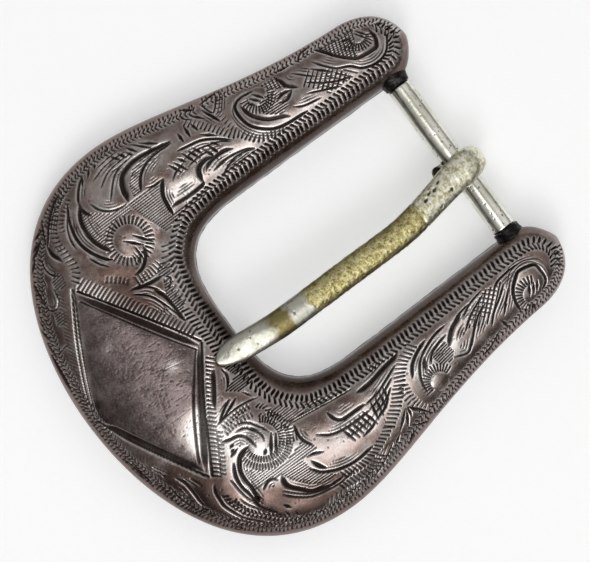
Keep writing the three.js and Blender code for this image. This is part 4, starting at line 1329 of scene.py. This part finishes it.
def build_world():
    """A dim room with soft boxes overhead and at the sides, which the camera sees as plain grey."""
    world = bpy.data.worlds.new("studio")
    bpy.context.scene.world = world
    world.use_nodes = True
    tree = world.node_tree
    tree.nodes.clear()
    way = add_node(tree, "ShaderNodeTexCoord").outputs["Generated"]
    total = ROOM_GLOW
    for direction, inner, outer, strength in SOFT_BOXES:
        unit = (np.array(direction) / np.linalg.norm(direction)).tolist()
        dot = add_node(tree, "ShaderNodeVectorMath", {0: way, 1: unit}, operation="DOT_PRODUCT")
        glow = add_node(tree, "ShaderNodeMapRange", {
            "Value": dot.outputs["Value"], "From Min": outer, "From Max": inner,
            "To Min": 0, "To Max": strength}, interpolation_type="SMOOTHSTEP")
        total = add_node(tree, "ShaderNodeMath", {0: total, 1: glow.outputs[0]}).outputs[0]
    room = add_node(tree, "ShaderNodeBackground", {"Color": (1.0, 0.985, 0.97, 1),
                                                   "Strength": total})
    plain = add_node(tree, "ShaderNodeBackground", {"Color": (0.82, 0.82, 0.82, 1)})
    path = add_node(tree, "ShaderNodeLightPath")
    mix = add_node(tree, "ShaderNodeMixShader", {0: path.outputs["Is Camera Ray"],
                                                 1: room.outputs[0], 2: plain.outputs[0]})
    add_node(tree, "ShaderNodeOutputWorld", {0: mix.outputs[0]})


def build_light(name, toward, distance, size, power):
    data = bpy.data.lights.new(name, "AREA")
    data.shape = "DISK"
    data.size = size
    data.energy = power
    lamp = bpy.data.objects.new(name, data)
    bpy.context.scene.collection.objects.link(lamp)
    unit = np.array(toward) / np.linalg.norm(toward)
    lamp.location = (unit * distance).tolist()
    lamp.rotation_euler = lamp.location.to_track_quat("Z", "Y").to_euler()


# the photo looks straight down: width seen at the aim point and distance above it, in mm
SEEN_WIDTH, CAMERA_ABOVE = 64.8, 250
AIM_X, AIM_Y, AIM_Z = 0.87, -0.61, 2.5
PHOTO_TURN = -36.7


def build_camera():
    data = bpy.data.cameras.new("camera")
    data.sensor_fit = "HORIZONTAL"
    data.sensor_width = 36
    data.lens = data.sensor_width * CAMERA_ABOVE / SEEN_WIDTH
    data.clip_start = 0.01
    data.clip_end = 10
    camera = bpy.data.objects.new("camera", data)
    bpy.context.scene.collection.objects.link(camera)
    camera.location = (AIM_X * MM, AIM_Y * MM, (CAMERA_ABOVE + AIM_Z) * MM)
    camera.rotation_euler = (0, 0, math.radians(PHOTO_TURN))
    bpy.context.scene.camera = camera


build_floor()
build_world()
build_light("key", (-0.45, -0.6, 0.85), 0.5, 0.2, 0.45)
build_camera()
bpy.context.scene.view_settings.view_transform = "Standard"
